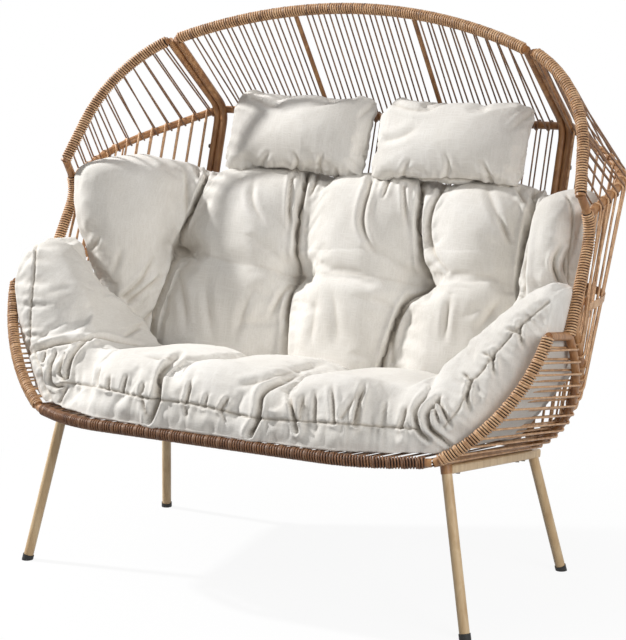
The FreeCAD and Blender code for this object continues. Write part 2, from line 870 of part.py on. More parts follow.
def lens(width, thickness, edge):
    """Section of a pillow on X and Y about the origin, crowned on both sides."""
    a, b = V(-width / 2, edge / 2, 0), V(width / 2, edge / 2, 0)
    c, d = V(width / 2, -edge / 2, 0), V(-width / 2, -edge / 2, 0)
    return closed_face([
        Part.Arc(a, V(0, thickness / 2, 0), b).toShape(), line(b, c),
        Part.Arc(c, V(0, -thickness / 2, 0), d).toShape(), line(d, a),
    ])


def pillow_outline():
    """Upright block with the pillow's drawn in sides."""
    half_w, half_h = pillow_w / 2, pillow_h / 2
    corners = [V(-half_w, 0, -half_h), V(half_w, 0, -half_h), V(half_w, 0, half_h), V(-half_w, 0, half_h)]
    sides = []
    for a, b in zip(corners, corners[1:] + corners[:1]):
        middle = (a + b) * 0.5
        drawn = middle * (1 - pillow_draw / middle.Length)
        sides.append(Part.Arc(a, drawn, b).toShape())
    block = closed_face(sides).extrude(V(0, 2 * pillow_t, 0))
    return block.translated(V(0, -pillow_t, 0))


def head_pillow(x):
    """Pillow that stands on the back cushion and leans on the hood's strands."""
    across = lens(pillow_w, pillow_t, pillow_edge_t).extrude(V(0, 0, pillow_h))
    across.translate(V(0, 0, -pillow_h / 2))
    upright = lens(pillow_h, pillow_t, pillow_edge_t).extrude(V(0, 0, pillow_w))
    upright.translate(V(0, 0, -pillow_w / 2))
    upright.rotate(V(0, 0, 0), V(0, 1, 0), 90)
    pillow = across.common(upright).common(pillow_outline())
    lean = math.radians(pillow_lean)
    z = back_top_z + fit + pillow_h / 2 * math.cos(lean) + pillow_edge_t / 2 * math.sin(lean)
    top_y = pillow_h / 2 * math.sin(lean) + pillow_edge_t / 2 * math.cos(lean)
    top_z = z + pillow_h / 2 * math.cos(lean) - pillow_edge_t / 2 * math.sin(lean)
    arch_over, _ = arch_point(abs(x) + pillow_w / 2)
    hood_tilt = math.atan2(hood_bend_y - arch_over.y, arch_over.z - hood_bend_z)
    y = hood_bend_y - (top_z - hood_bend_z) * math.tan(hood_tilt) - soft_offset / math.cos(hood_tilt) - top_y
    pillow.Placement = FreeCAD.Placement(V(x, y, z), FreeCAD.Rotation(V(1, 0, 0), -pillow_lean))
    return pillow


PIECES = {
    "centre_arch": centre_arch,
    "crossbar": crossbar,
    "back_lower_bar": back_lower_bar,
    "hood_strands": hood_strands,
    "back_strands": back_strands,
    "front_rail": front_rail,
    "seat_rear_bar": seat_rear_bar,
    "seat_strands": seat_strands,
    "seat_cushion": seat_cushion,
    "back_cushion": back_cushion,
    "left_head_pillow": lambda: head_pillow(pillow_left_x),
    "right_head_pillow": lambda: head_pillow(pillow_right_x),
}
PAIRED = {
    "centre_rail": lambda: drilled(centre_rail()),
    "hood_rib": lambda: hood_rib(rib_x),
    "wing_arch": wing_arch,
    "wing_end_plug": wing_end_plug,
    "wing_rail": lambda: drilled(wing_rail()),
    "wing_post": wing_post,
    "wing_mid_bar": wing_mid_bar,
    "wing_lower_tube": wing_lower_tube,
    "wing_hood_strands": wing_hood_strands,
    "wing_wall_strands": wing_wall_strands,
    "wing_tie_band": wing_tie_band,
    "arm_rim": arm_rim,
    "arm_top_tube": arm_top_tube,
    "arm_rear_tube": arm_rear_tube,
    "arm_bottom_tube": arm_bottom_tube,
    "arm_strands": arm_strands,
    "base_rail": base_rail,
    "front_leg_socket": front_leg_socket,
    "front_leg": front_leg,
    "rear_leg": rear_leg,
    "front_foot_cap": front_foot_cap,
    "rear_foot_cap": rear_foot_cap,
    "base_bolts": base_bolts,
    "panel_bolts": panel_bolts,
}


def drilled(rail):
    for hole in panel_holes():
        rail = rail.cut(hole)
    return rail


os.makedirs("parts", exist_ok=True)
shapes = {name: make() for name, make in PIECES.items()}
for name, make in PAIRED.items():
    shapes["right_" + name] = make()
    shapes["left_" + name] = mirrored(shapes["right_" + name])
whole = Part.Compound(list(shapes.values())).BoundBox
shift = V(-(whole.XMin + whole.XMax) / 2, -(whole.YMin + whole.YMax) / 2, -whole.ZMin)
for name, shape in shapes.items():
    shape.translated(shift).exportStep("parts/" + name + ".step")
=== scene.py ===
"""Two seat egg chair on four splayed legs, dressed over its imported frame.

Lengths are in metres unless a name or a docstring says otherwise.
"""

import logging
import math
from dataclasses import dataclass, field
from enum import Enum
from typing import Sequence

import bmesh
import bpy
import numpy as np
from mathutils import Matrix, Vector
from mathutils.kdtree import KDTree


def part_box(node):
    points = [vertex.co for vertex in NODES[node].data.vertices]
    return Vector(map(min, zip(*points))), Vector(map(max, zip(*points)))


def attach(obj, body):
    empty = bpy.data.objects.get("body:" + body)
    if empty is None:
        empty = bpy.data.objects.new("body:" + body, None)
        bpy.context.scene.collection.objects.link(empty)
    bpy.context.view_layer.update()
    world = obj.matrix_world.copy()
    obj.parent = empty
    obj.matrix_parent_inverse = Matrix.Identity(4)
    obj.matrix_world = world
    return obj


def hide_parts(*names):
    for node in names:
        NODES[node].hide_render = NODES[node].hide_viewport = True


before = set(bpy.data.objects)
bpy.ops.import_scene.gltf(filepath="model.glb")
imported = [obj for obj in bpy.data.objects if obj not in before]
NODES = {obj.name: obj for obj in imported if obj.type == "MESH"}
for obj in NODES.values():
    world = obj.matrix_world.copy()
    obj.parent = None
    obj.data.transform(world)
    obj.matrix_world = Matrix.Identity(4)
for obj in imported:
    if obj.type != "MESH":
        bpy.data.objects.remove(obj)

log = logging.getLogger("egg_chair")
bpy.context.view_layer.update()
ROOT_BODY = "frame"
MM = 0.001

Shade = tuple[float, float, float]
Steps = tuple[float, ...]
Socket = bpy.types.NodeSocket


def paint(red: int, green: int, blue: int) -> Shade:
    """Turn a picture colour of 0 to 255 into the renderer's linear values."""
    def linear(value: int) -> float:
        """Undo the standard curve of one channel."""
        share = value / 255
        return share / 12.92 if share <= 0.04045 else ((share + 0.055) / 1.055) ** 2.4
    return linear(red), linear(green), linear(blue)


class Side(Enum):
    """The two sides of the chair, as the viewer sees them."""

    LEFT = "left"
    RIGHT = "right"


# Finishes


class Shader:
    """Node material under construction."""

    def __init__(self, name: str) -> None:
        """Start a material with one principled surface.

        Args:
            name: name of the material.
        """
        self.material = bpy.data.materials.new(name)
        self.material.use_nodes = True
        self.tree = self.material.node_tree
        self.surface = self.tree.nodes["Principled BSDF"]
        self.place = self.tree.nodes.new("ShaderNodeTexCoord").outputs["Object"]

    def link(self, source: Socket, target: Socket) -> None:
        """Join two sockets."""
        self.tree.links.new(source, target)

    def feed(self, value: Socket | float, target: Socket) -> None:
        """Give a socket one value, or join it to another."""
        if isinstance(value, (int, float)):
            target.default_value = value
        else:
            self.link(value, target)

    def stretched(self, scale: Sequence[float] = (1, 1, 1), turn: Sequence[float] = (0, 0, 0)) -> Socket:
        """Object coordinates, turned and then scaled along each axis.

        Args:
            scale: factor along X, Y and Z.
            turn: turn about X, Y and Z in degrees.

        Returns:
            The socket with the new coordinates.
        """
        turned = self.tree.nodes.new("ShaderNodeMapping")
        turned.inputs["Rotation"].default_value = [math.radians(angle) for angle in turn]
        self.link(self.place, turned.inputs["Vector"])
        scaled = self.tree.nodes.new("ShaderNodeMapping")
        scaled.inputs["Scale"].default_value = scale
        self.link(turned.outputs["Vector"], scaled.inputs["Vector"])
        return scaled.outputs["Vector"]

    def noise(self, scale: float, detail: float = 3, where: Socket | None = None,
              distortion: float = 0) -> Socket:
        """Soft noise from 0 to 1.

        Args:
            scale: how many blotches lie in a metre.
            detail: how many finer layers are added.
            where: coordinates to use in place of the object's own.
            distortion: how far the blotches are pulled out of shape.

        Returns:
            The socket with the noise.
        """
        node = self.tree.nodes.new("ShaderNodeTexNoise")
        node.inputs["Scale"].default_value = scale
        node.inputs["Detail"].default_value = detail
        node.inputs["Distortion"].default_value = distortion
        self.link(where or self.place, node.inputs["Vector"])
        return node.outputs["Fac"]

    def bands(self, pitch: float, where: Socket, distortion: float = 0, axis: str = "X") -> Socket:
        """Parallel ridges from 0 to 1.

        Args:
            pitch: distance between two ridges.
            where: coordinates that the ridges are laid in.
            distortion: how far the ridges wander.
            axis: axis that they follow each other along.

        Returns:
            The socket with the ridges.
        """
        node = self.tree.nodes.new("ShaderNodeTexWave")
        node.bands_direction = axis
        node.inputs["Scale"].default_value = math.pi / 10 / pitch
        node.inputs["Distortion"].default_value = distortion
        node.inputs["Detail Scale"].default_value = 4
        self.link(where, node.inputs["Vector"])
        return node.outputs["Fac"]

    def ramp(self, share: Socket, steps: Steps, shades: Sequence[Shade]) -> Socket:
        """Colours laid along a share.

        Args:
            share: socket that picks the colour.
            steps: place of each colour.
            shades: the colours.

        Returns:
            The socket with the colour.
        """
        node = self.tree.nodes.new("ShaderNodeValToRGB")
        while len(node.color_ramp.elements) < len(shades):
            node.color_ramp.elements.new(0.5)
        for element, place, shade in zip(node.color_ramp.elements, steps, shades):
            element.position = place
            element.color = (*shade, 1)
        self.link(share, node.inputs["Fac"])
        return node.outputs["Color"]

    def maths(self, operation: str, first: Socket, second: Socket) -> Socket:
        """Result of one operation on two numbers."""
        node = self.tree.nodes.new("ShaderNodeMath")
        node.operation = operation
        self.link(first, node.inputs[0])
        self.link(second, node.inputs[1])
        return node.outputs[0]

    def blend(self, share: Socket | float, first: Socket, second: Socket, way: str = "MIX") -> Socket:
        """Mix of two colours.

        Args:
            share: share of the second colour.
            first: first colour.
            second: second colour.
            way: how they are mixed.

        Returns:
            The socket with the mixed colour.
        """
        node = self.tree.nodes.new("ShaderNodeMix")
        node.data_type = "RGBA"
        node.blend_type = way
        self.feed(share, node.inputs[0])
        first_colour, second_colour = [socket for socket in node.inputs if socket.type == "RGBA"]
        self.link(first, first_colour)
        self.link(second, second_colour)
        return next(socket for socket in node.outputs if socket.type == "RGBA")

    def bump(self, height: Socket, depth: float, strength: float = 1, over: Socket | None = None) -> Socket:
        """Relief on the surface.

        Args:
            height: height from 0 to 1.
            depth: height of the relief.
            strength: how strongly it shows.
            over: coarser relief that it lies on.

        Returns:
            The socket with the bent normal.
        """
        node = self.tree.nodes.new("ShaderNodeBump")
        node.inputs["Distance"].default_value = depth
        node.inputs["Strength"].default_value = strength
        self.link(height, node.inputs["Height"])
        if over is not None:
            self.link(over, node.inputs["Normal"])
        return node.outputs["Normal"]

    def finish(self, colour: Socket, roughness: Socket | float, normal: Socket) -> bpy.types.Material:
        """Wire the surface and give the material back."""
        self.link(colour, self.surface.inputs["Base Color"])
        self.feed(roughness, self.surface.inputs["Roughness"])
        self.link(normal, self.surface.inputs["Normal"])
        return self.material

    def spread(self, share: Socket, low: float, high: float) -> Socket:
        """Share of 0 to 1 laid between two values."""
        node = self.tree.nodes.new("ShaderNodeMapRange")
        node.inputs["To Min"].default_value = low
        node.inputs["To Max"].default_value = high
        self.link(share, node.inputs["Value"])
        return node.outputs["Result"]


@dataclass(frozen=True)
class CordFinish:
    """Round plastic wicker cord with a faint grain along its length."""

    name: str
    dark: Shade
    middle: Shade
    light: Shade
    roughness: float = 0.46
    smoother: float = 0.08
    rougher: float = 0.1
    patch_scale: float = 46
    patch_wander: float = 0.6
    patch_steps: Steps = (0.28, 0.5, 0.72)
    grain_scale: float = 520
    grain_steps: Steps = (0.3, 0.52, 0.7)
    grain_share: float = 0.35
    grain_height: float = 0.0004

    def build(self) -> bpy.types.Material:
        """Make the material."""
        shader = Shader(self.name)
        shades = (self.dark, self.middle, self.light)
        patches = shader.noise(self.patch_scale, 4, distortion=self.patch_wander)
        grain = shader.noise(self.grain_scale, 2)
        base = shader.ramp(patches, self.patch_steps, shades)
        colour = shader.blend(self.grain_share, base, shader.ramp(grain, self.grain_steps, shades))
        roughness = shader.spread(grain, self.roughness - self.smoother, self.roughness + self.rougher)
        return shader.finish(colour, roughness, shader.bump(grain, self.grain_height, 0.5))


@dataclass(frozen=True)
class TubeFinish:
    """Powder coated tube with a fine wood like streak and a faint orange peel."""

    name: str
    shades: tuple[Shade, Shade, Shade]
    roughness: float
    streak: tuple[float, float, float] = (60, 60, 9)
    streak_wander: float = 0.8
    streak_steps: Steps = (0.3, 0.5, 0.7)
    wear: float = 0.07
    wear_scale: float = 24
    peel_scale: float = 900
    peel_height: float = 0.0002
    peel_strength: float = 0.35

    def build(self) -> bpy.types.Material:
        """Make the material."""
        shader = Shader(self.name)
        streaks = shader.noise(1, 4, shader.stretched(self.streak), self.streak_wander)
        colour = shader.ramp(streaks, self.streak_steps, self.shades)
        peel = shader.noise(self.peel_scale, 1)
        worn = shader.noise(self.wear_scale, 3)
        roughness = shader.spread(worn, self.roughness - self.wear, self.roughness + self.wear)
        return shader.finish(colour, roughness, shader.bump(peel, self.peel_height, self.peel_strength))


@dataclass(frozen=True)
class RubberFinish:
    """Moulded black foot cap, scuffed a little grey."""

    name: str = "cap_rubber"
    shades: tuple[Shade, Shade] = (paint(17, 16, 16), paint(38, 36, 35))
    scuff_scale: float = 140
    scuff_steps: Steps = (0.35, 0.75)
    roughness: tuple[float, float] = (0.5, 0.75)
    pore_scale: float = 1500
    pore_height: float = 0.0002
    pore_strength: float = 0.3

    def build(self) -> bpy.types.Material:
        """Make the material."""
        shader = Shader(self.name)
        scuffs = shader.noise(self.scuff_scale, 4)
        colour = shader.ramp(scuffs, self.scuff_steps, self.shades)
        roughness = shader.spread(scuffs, *self.roughness)
        pores = shader.noise(self.pore_scale, 1)
        return shader.finish(colour, roughness, shader.bump(pores, self.pore_height, self.pore_strength))


@dataclass(frozen=True)
class BoltFinish:
    """Zinc plated bolt, turned on its head."""

    name: str = "bolt_zinc"
    shades: tuple[Shade, Shade] = (paint(84, 78, 70), paint(134, 126, 114))
    stain_scale: float = 260
    stain_steps: Steps = (0.3, 0.7)
    stain_height: float = 0.0002
    stain_strength: float = 0.4
    roughness: tuple[float, float] = (0.3, 0.5)
    metal: float = 0.85

    def build(self) -> bpy.types.Material:
        """Make the material."""
        shader = Shader(self.name)
        stain = shader.noise(self.stain_scale, 3)
        colour = shader.ramp(stain, self.stain_steps, self.shades)
        shader.surface.inputs["Metallic"].default_value = self.metal
        roughness = shader.spread(stain, *self.roughness)
        return shader.finish(colour, roughness, shader.bump(stain, self.stain_height, self.stain_strength))


@dataclass(frozen=True)
class LinenFinish:
    """Slubbed linen cover: crossing threads, thick slubs and a faint sheen."""

    name: str = "cushion_linen"
    low: Shade = paint(216, 211, 203)
    middle: Shade = paint(228, 224, 217)
    high: Shade = paint(238, 235, 230)
    thread: float = 0.0017
    thread_wander: float = 1.6
    lean: float = 24
    slub_across: tuple[float, float, float] = (28, 340, 340)
    slub_up: tuple[float, float, float] = (360, 60, 30)
    slub_wander: float = 0.4
    slub_steps: Steps = (0.4, 0.56, 0.75)
    slub_height: float = 0.0009
    cloud_scale: float = 7
    cloud_steps: Steps = (0.3, 0.5, 0.72)
    weave_height: float = 0.0003
    weave_strength: float = 0.25
    roughness: tuple[float, float] = (0.84, 0.96)
    gloss: float = 0.25
    # Painted shade: how far the cover darkens in folds, seams and tufts, from none to deep.
    painted_shade_ramp: tuple[Shade, Shade, Shade] = ((1, 1, 1), (0.80, 0.77, 0.73), (0.42, 0.39, 0.36))
    sheen: float = 0.18

    def build(self) -> bpy.types.Material:
        """Make the material."""
        shader = Shader(self.name)
        across, upright, deep = (
            shader.bands(self.thread, shader.stretched(turn=(lean, 0, 0)), self.thread_wander, axis)
            for lean, axis in ((0, "X"), (self.lean, "Z"), (self.lean, "Y"))
        )
        weave = shader.maths("ADD", shader.maths("MULTIPLY", across, upright), deep)
        slub_across, slub_up = (
            shader.noise(1, 3, shader.stretched(slub), self.slub_wander)
            for slub in (self.slub_across, self.slub_up)
        )
        slubs = shader.maths("MAXIMUM", slub_across, slub_up)
        cloud = shader.noise(self.cloud_scale, 3)
        shades = (self.low, self.middle, self.high)
        base = shader.ramp(cloud, self.cloud_steps, shades)
        cover = shader.blend(0.5, base, shader.ramp(slubs, self.slub_steps, shades))
        # Painted shade: the cover is darkened by the shade that the folds, seams and tufts leave on the
        # cushion's vertices.
        shade = shader.tree.nodes.new("ShaderNodeAttribute")
        shade.attribute_name = "painted_fold_shade"
        painted_shade_ramp = shader.ramp(shade.outputs["Fac"], (0.0, 0.5, 1.0), self.painted_shade_ramp)
        colour = shader.blend(1.0, cover, painted_shade_ramp, "MULTIPLY")
        fine = shader.bump(weave, self.weave_height, self.weave_strength)
        relief = shader.bump(slubs, self.slub_height, 0.5, fine)
        self.soften(shader)
        return shader.finish(colour, shader.spread(slubs, *self.roughness), relief)

    def soften(self, shader: Shader) -> None:
        """Give the cover its faint sheen."""
        shader.surface.inputs["Sheen Weight"].default_value = self.sheen
        shader.surface.inputs["Sheen Roughness"].default_value = 0.5
        shader.surface.inputs["Specular IOR Level"].default_value = self.gloss


WINDING_CORD = CordFinish("winding_cord", paint(138, 98, 66), paint(204, 160, 118), paint(232, 196, 156))
# Painted shade: a darker copy of the wicker for the hood, back and seat strands, which stand in shade.
SHADED_STRAND_CORD = CordFinish("strand_cord_painted_shade", paint(84, 58, 42), paint(132, 98, 72), paint(176, 140, 108))
# Painted shade: a darker copy of the wicker for the front rail, which lies in shade under the seat.
SHADED_RAIL_CORD = CordFinish("rail_cord_painted_shade", paint(80, 50, 30), paint(120, 80, 50), paint(156, 112, 74))
# Painted shade: a near-black cord under the windings, so that the gaps between their turns look shaded.
SHADED_WINDING_CORE = CordFinish("winding_core", paint(26, 17, 12), paint(38, 25, 17), paint(52, 35, 24), 0.8)
BROWN_TUBE = TubeFinish("brown_tube", (paint(136, 92, 58), paint(164, 118, 76), paint(190, 144, 98)), 0.42)
GOLD_TUBE = TubeFinish("gold_tube", (paint(196, 164, 122), paint(212, 182, 140), paint(226, 200, 160)), 0.36)


class Wardrobe:
    """The finished materials, each built once. Three of them are darker copies of the wicker cord, as painted
    shade: one for the strands that stand in shade, one for the front rail under the seat and a near-black one
    under the windings that shades the gaps between their turns.
    """

    def __init__(self) -> None:
        """Build all finishes."""
        self.finishes: dict[str, bpy.types.Material] = {
            "wicker": WINDING_CORD.build(),
            "brown_tube": BROWN_TUBE.build(),
            "gold_tube": GOLD_TUBE.build(),
            "cap": RubberFinish().build(),
            "bolt": BoltFinish().build(),
            "linen": LinenFinish().build(),
            "shaded strand cord": SHADED_STRAND_CORD.build(),
            "shaded rail cord": SHADED_RAIL_CORD.build(),
            "shaded winding core": SHADED_WINDING_CORE.build(),
        }

    def dress(self, piece: bpy.types.Object, slot: str, finish: str | None = None) -> None:
        """Put one finish on a piece.

        Args:
            piece: the object to dress.
            slot: name of the slot.
            finish: name of the finish, where it isn't the slot's own.
        """
        piece.data.materials.clear()
        piece.data.materials.append(self.finishes[finish or slot])


# Lines and meshes


def vec(x: float, y: float, z: float) -> np.ndarray:
    """Point or direction as an array."""
    return np.array([x, y, z], float)


def unit(direction: np.ndarray) -> np.ndarray:
    """Direction of length one."""
    return direction / np.linalg.norm(direction)


def flip(point: np.ndarray) -> np.ndarray:
    """The same point on the other side of the chair."""
    return point * vec(-1, 1, 1)


def arc_points(a: np.ndarray, middle: np.ndarray, b: np.ndarray, step: float) -> np.ndarray:
    """Points along the arc through three points.

    Args:
        a: start of the arc.
        middle: a point that it passes through.
        b: its end.
        step: distance between two points.

    Returns:
        The points, one in each row.
    """
    normal = unit(np.cross(middle - a, b - a))
    chord, reach = middle - a, b - a
    spread = np.cross(chord, reach)
    centre = a + (np.dot(chord, chord) * np.cross(reach, spread) * -1
                  + np.dot(reach, reach) * np.cross(chord, spread)) * -1 / (2 * np.dot(spread, spread))
    radius = np.linalg.norm(a - centre)
    first = (a - centre) / radius
    second = np.cross(normal, first)
    turn = math.atan2(np.dot(b - centre, second), np.dot(b - centre, first)) % (2 * math.pi)
    count = max(2, math.ceil(turn * radius / step))
    angles = np.linspace(0, turn, count + 1)[:, None]
    return centre + radius * (np.cos(angles) * first + np.sin(angles) * second)


WIRE_STEP = 0.003


class Wire:
    """A line through the frame, walked by its length."""

    def __init__(self, points: np.ndarray) -> None:
        """Keep the points and the length up to each.

        Args:
            points: points close together along the line, one in each row.
        """
        self.points = points
        runs = np.linalg.norm(np.diff(points, axis=0), axis=1)
        self.marks = np.concatenate([[0], np.cumsum(runs)])
        bow = np.cross(points[len(points) // 2] - points[0], points[-1] - points[0])
        far = np.linalg.norm(points[-1] - points[0])
        straight = np.linalg.norm(bow) < 1e-4 * far * far
        self.normal = unit(np.cross(points[-1] - points[0], vec(0.3, 0.2, 1))) if straight else unit(bow)

    @classmethod
    def arc(cls, a: np.ndarray, middle: np.ndarray, b: np.ndarray) -> "Wire":
        """Wire along one arc through three points."""
        return cls(arc_points(a, middle, b, WIRE_STEP))

    @classmethod
    def straight(cls, a: np.ndarray, b: np.ndarray) -> "Wire":
        """Wire along one straight run."""
        count = max(2, math.ceil(np.linalg.norm(b - a) / WIRE_STEP))
        return cls(a + (b - a) * np.linspace(0, 1, count + 1)[:, None])

    @classmethod
    def bent(cls, corners: Sequence[np.ndarray], radius: float) -> "Wire":
        """Wire of straight runs joined by tangent arcs.

        Args:
            corners: ends and corners of the runs.
            radius: radius of each bend.

        Returns:
            The wire.
        """
        rows: list[np.ndarray] = [corners[0][None]]
        for before, corner, after in zip(corners, corners[1:], corners[2:]):
            into, out = unit(corner - before), unit(after - corner)
            turn = math.acos(np.clip(np.dot(into, out), -1, 1))
            reach = radius * math.tan(turn / 2)
            begin, end = corner - into * reach, corner + out * reach
            middle = corner + unit(out - into) * (radius / math.cos(turn / 2) - radius)
            rows.append(cls.straight(rows[-1][-1], begin).points[1:])
            rows.append(arc_points(begin, middle, end, WIRE_STEP)[1:])
        rows.append(cls.straight(rows[-1][-1], corners[-1]).points[1:])
        return cls(np.concatenate(rows))

    @property
    def length(self) -> float:
        """Length of the whole wire."""
        return float(self.marks[-1])

    def at(self, lengths: np.ndarray | float) -> np.ndarray:
        """Points at lengths along the wire."""
        return np.stack([np.interp(lengths, self.marks, self.points[:, k]) for k in range(3)], axis=-1)

    def heading(self, lengths: np.ndarray | float) -> np.ndarray:
        """Directions of the wire at lengths along it."""
        ahead = self.at(np.minimum(np.add(lengths, WIRE_STEP), self.length))
        behind = self.at(np.maximum(np.subtract(lengths, WIRE_STEP), 0))
        run = ahead - behind
        return run / np.linalg.norm(run, axis=-1, keepdims=True)

    def cut(self, start: float, end: float) -> "Wire":
        """Stretch of the wire between two lengths."""
        inner = self.marks[(self.marks > start) & (self.marks < end)]
        return Wire(self.at(np.concatenate([[start], inner, [end]])))

    def mirrored(self) -> "Wire":
        """The same wire on the other side of the chair."""
        return Wire(self.points * vec(-1, 1, 1))

    def helix(self, radius: float, pitch: float, steps: int = 14) -> np.ndarray:
        """Points of a cord that winds round the wire.

        Args:
            radius: distance of the cord's middle from the wire.
            pitch: distance between two turns.
            steps: points in each turn.

        Returns:
            The points, one in each row.
        """
        turns = max(1, round(self.length / pitch))
        lengths = np.linspace(0, self.length, turns * steps + 1)
        angles = (2 * np.pi * turns * lengths / self.length)[:, None]
        second = np.cross(self.heading(lengths), self.normal)
        second /= np.linalg.norm(second, axis=1, keepdims=True)
        return self.at(lengths) + radius * (np.cos(angles) * self.normal + np.sin(angles) * second)


Stroke = tuple[np.ndarray, bool]


def tube_mesh(name: str, strokes: Sequence[Stroke], radius: float, fineness: int = 1) -> bpy.types.Object:
    """Round cords or tubes along lines, as one mesh.

    Args:
        name: name of the piece.
        strokes: points of each line, and whether it closes on itself.
        radius: radius of the cord or tube.
        fineness: 1 gives six flats round it, and each step more gives two more.

    Returns:
        The new object, with its place in its mesh.
    """
    curve = bpy.data.curves.new(name + "_line", "CURVE")
    curve.dimensions = "3D"
    curve.bevel_depth = radius
    curve.bevel_resolution = fineness
    curve.use_fill_caps = True
    for points, closed in strokes:
        spline = curve.splines.new("POLY")
        spline.points.add(len(points) - 1)
        spline.points.foreach_set("co", np.hstack([points, np.ones((len(points), 1))]).ravel())
        spline.use_cyclic_u = closed
    holder = bpy.data.objects.new(name + "_line", curve)
    bpy.context.scene.collection.objects.link(holder)
    bpy.context.view_layer.update()
    mesh = bpy.data.meshes.new_from_object(holder.evaluated_get(bpy.context.evaluated_depsgraph_get()))
    bpy.data.objects.remove(holder)
    bpy.data.curves.remove(curve)
    mesh.name = name
    mesh.polygons.foreach_set("use_smooth", [True] * len(mesh.polygons))
    piece = bpy.data.objects.new(name, mesh)
    bpy.context.scene.collection.objects.link(piece)
    return piece


def coordinates(mesh: bpy.types.Mesh) -> np.ndarray:
    """Vertex places of a mesh, one in each row."""
    flat = np.empty(len(mesh.vertices) * 3, np.float32)
    mesh.vertices.foreach_get("co", flat)
    return flat.reshape(-1, 3).astype(float)


def normals(mesh: bpy.types.Mesh) -> np.ndarray:
    """Vertex normals of a mesh, one in each row."""
    flat = np.empty(len(mesh.vertices) * 3, np.float32)
    mesh.vertex_normals.foreach_get("vector", flat)
    return flat.reshape(-1, 3).astype(float)


def place_vertices(mesh: bpy.types.Mesh, rows: np.ndarray) -> None:
    """Move the vertices of a mesh."""
    mesh.vertices.foreach_set("co", rows.astype(np.float32).ravel())
    mesh.update()


# The chair's lines


@dataclass(frozen=True)
class Skeleton:
    """Middle lines of the chair's tubes. Its numbers are in millimetres, before the frame's shift."""

    opening_lean: float = 0.60
    opening_floor_y: float = -545
    arch_end: tuple[float, float] = (502, 1304)
    arch_top_z: float = 1390
    rail_x: float = 504
    wing_rail_x: float = 524.3
    hood_bend: tuple[float, float] = (474, 1100)
    back_foot: tuple[float, float] = (246, 350)
    rib_x: float = 171
    wing_start_rise: float = -6
    wing_shoulder: tuple[float, float] = (681, 1223)
    wing_tip: tuple[float, float] = (734, 988)
    wing_bend_r: float = 360
    knee: tuple[float, float, float] = (741, 104, 908)
    post_foot: tuple[float, float, float] = (750, -38, 672)
    post_bend_r: float = 90
    mid_corner: tuple[float, float, float] = (754, 308, 1003)
    mid_bend_r: float = 190
    mid_post_share: float = 0.66
    arm_forward: float = 26
    arm_top: tuple[float, float] = (751, 690)
    arm_low: tuple[float, float] = (552, 410)
    arm_bulge: float = 41
    rear_low: tuple[float, float, float] = (545, 216, 335)
    rear_bulge: float = 62
    wing_low_set: float = 31
    front_corner: tuple[float, float] = (397, -407)
    front_bend_r: float = 380
    shift_y: float = (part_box("crossbar")[0].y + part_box("crossbar")[1].y) / 2 / MM - 474

    def point(self, x: float, y: float, z: float) -> np.ndarray:
        """Point of the frame in metres."""
        return vec(x, y + self.shift_y, z) * MM

    def on_opening(self, x: float, z: float, forward: float = 0) -> np.ndarray:
        """Point of the front opening's plane at one width and height."""
        return self.point(x, self.opening_floor_y + self.opening_lean * z - forward, z)

    def arc_mid(self, a: np.ndarray, b: np.ndarray, bulge: float) -> np.ndarray:
        """Middle of an arc that bulges outwards and down."""
        chord = unit(b - a)
        toward = vec(1, 0, -0.4)
        return (a + b) / 2 + unit(toward - chord * np.dot(toward, chord)) * bulge * MM

    def centre_arch(self) -> Wire:
        """Arch over the hood."""
        end = self.on_opening(*self.arch_end)
        return Wire.arc(flip(end), self.on_opening(0, self.arch_top_z), end)

    def hood_bar(self) -> Wire:
        """Crossbar where the hood meets the back."""
        end = self.point(self.rail_x, *self.hood_bend)
        return Wire.straight(flip(end), end)

    def back_bar(self) -> Wire:
        """Lower bar of the back."""
        end = self.point(self.rail_x, *self.back_foot)
        return Wire.straight(flip(end), end)

    def wing_arch(self) -> Wire:
        """Arch of a wing, from the centre to its tip."""
        start = self.on_opening(self.wing_rail_x + 4, self.arch_end[1] + self.wing_start_rise)
        shoulder, tip = self.on_opening(*self.wing_shoulder), self.on_opening(*self.wing_tip)
        return Wire.bent([start, shoulder, tip], self.wing_bend_r * MM)

    def post(self) -> Wire:
        """Post from the wing's tip round the knee to the arm."""
        corners = [self.on_opening(*self.wing_tip), self.point(*self.knee), self.point(*self.post_foot)]
        return Wire.bent(corners, self.post_bend_r * MM)

    def mid_bar(self) -> Wire:
        """Middle bar of a wing, round its corner to the post."""
        start = self.point(self.wing_rail_x, *self.hood_bend)
        tip, knee = self.on_opening(*self.wing_tip), self.point(*self.knee)
        end = tip + (knee - tip) * self.mid_post_share
        return Wire.bent([start, self.point(*self.mid_corner), end], self.mid_bend_r * MM)

    def rear_tube(self, set_back: float = 0) -> Wire:
        """Rear tube of an arm, or the wing's tube that runs behind it."""
        top, low = self.point(*self.post_foot) - vec(0, 0, MM), self.point(*self.rear_low)
        middle = self.arc_mid(top, low, self.rear_bulge)
        if not set_back:
            return Wire.arc(top, middle, low)
        shift = vec(0, set_back * 0.8, set_back * 0.6) * MM
        return Wire.arc(top + shift, middle + shift, self.point(self.wing_rail_x, *self.back_foot))

    def arm_rim(self) -> Wire:
        """Front rim of an arm."""
        top = self.on_opening(*self.arm_top, self.arm_forward)
        low = self.on_opening(*self.arm_low, self.arm_forward)
        return Wire.arc(top, self.arc_mid(top, low, self.arm_bulge), low)

    def front_rail(self) -> Wire:
        """Rail under the seat's front edge."""
        low = self.on_opening(*self.arm_low, self.arm_forward)
        corner = self.point(*self.front_corner, self.arm_low[1])
        return Wire.bent([flip(low), flip(corner), corner, low], self.front_bend_r * MM)

    def seat_bar(self) -> Wire:
        """Rear bar of the seat."""
        end = self.point(*self.rear_low)
        return Wire.straight(flip(end), end)


# Wound rims and strands


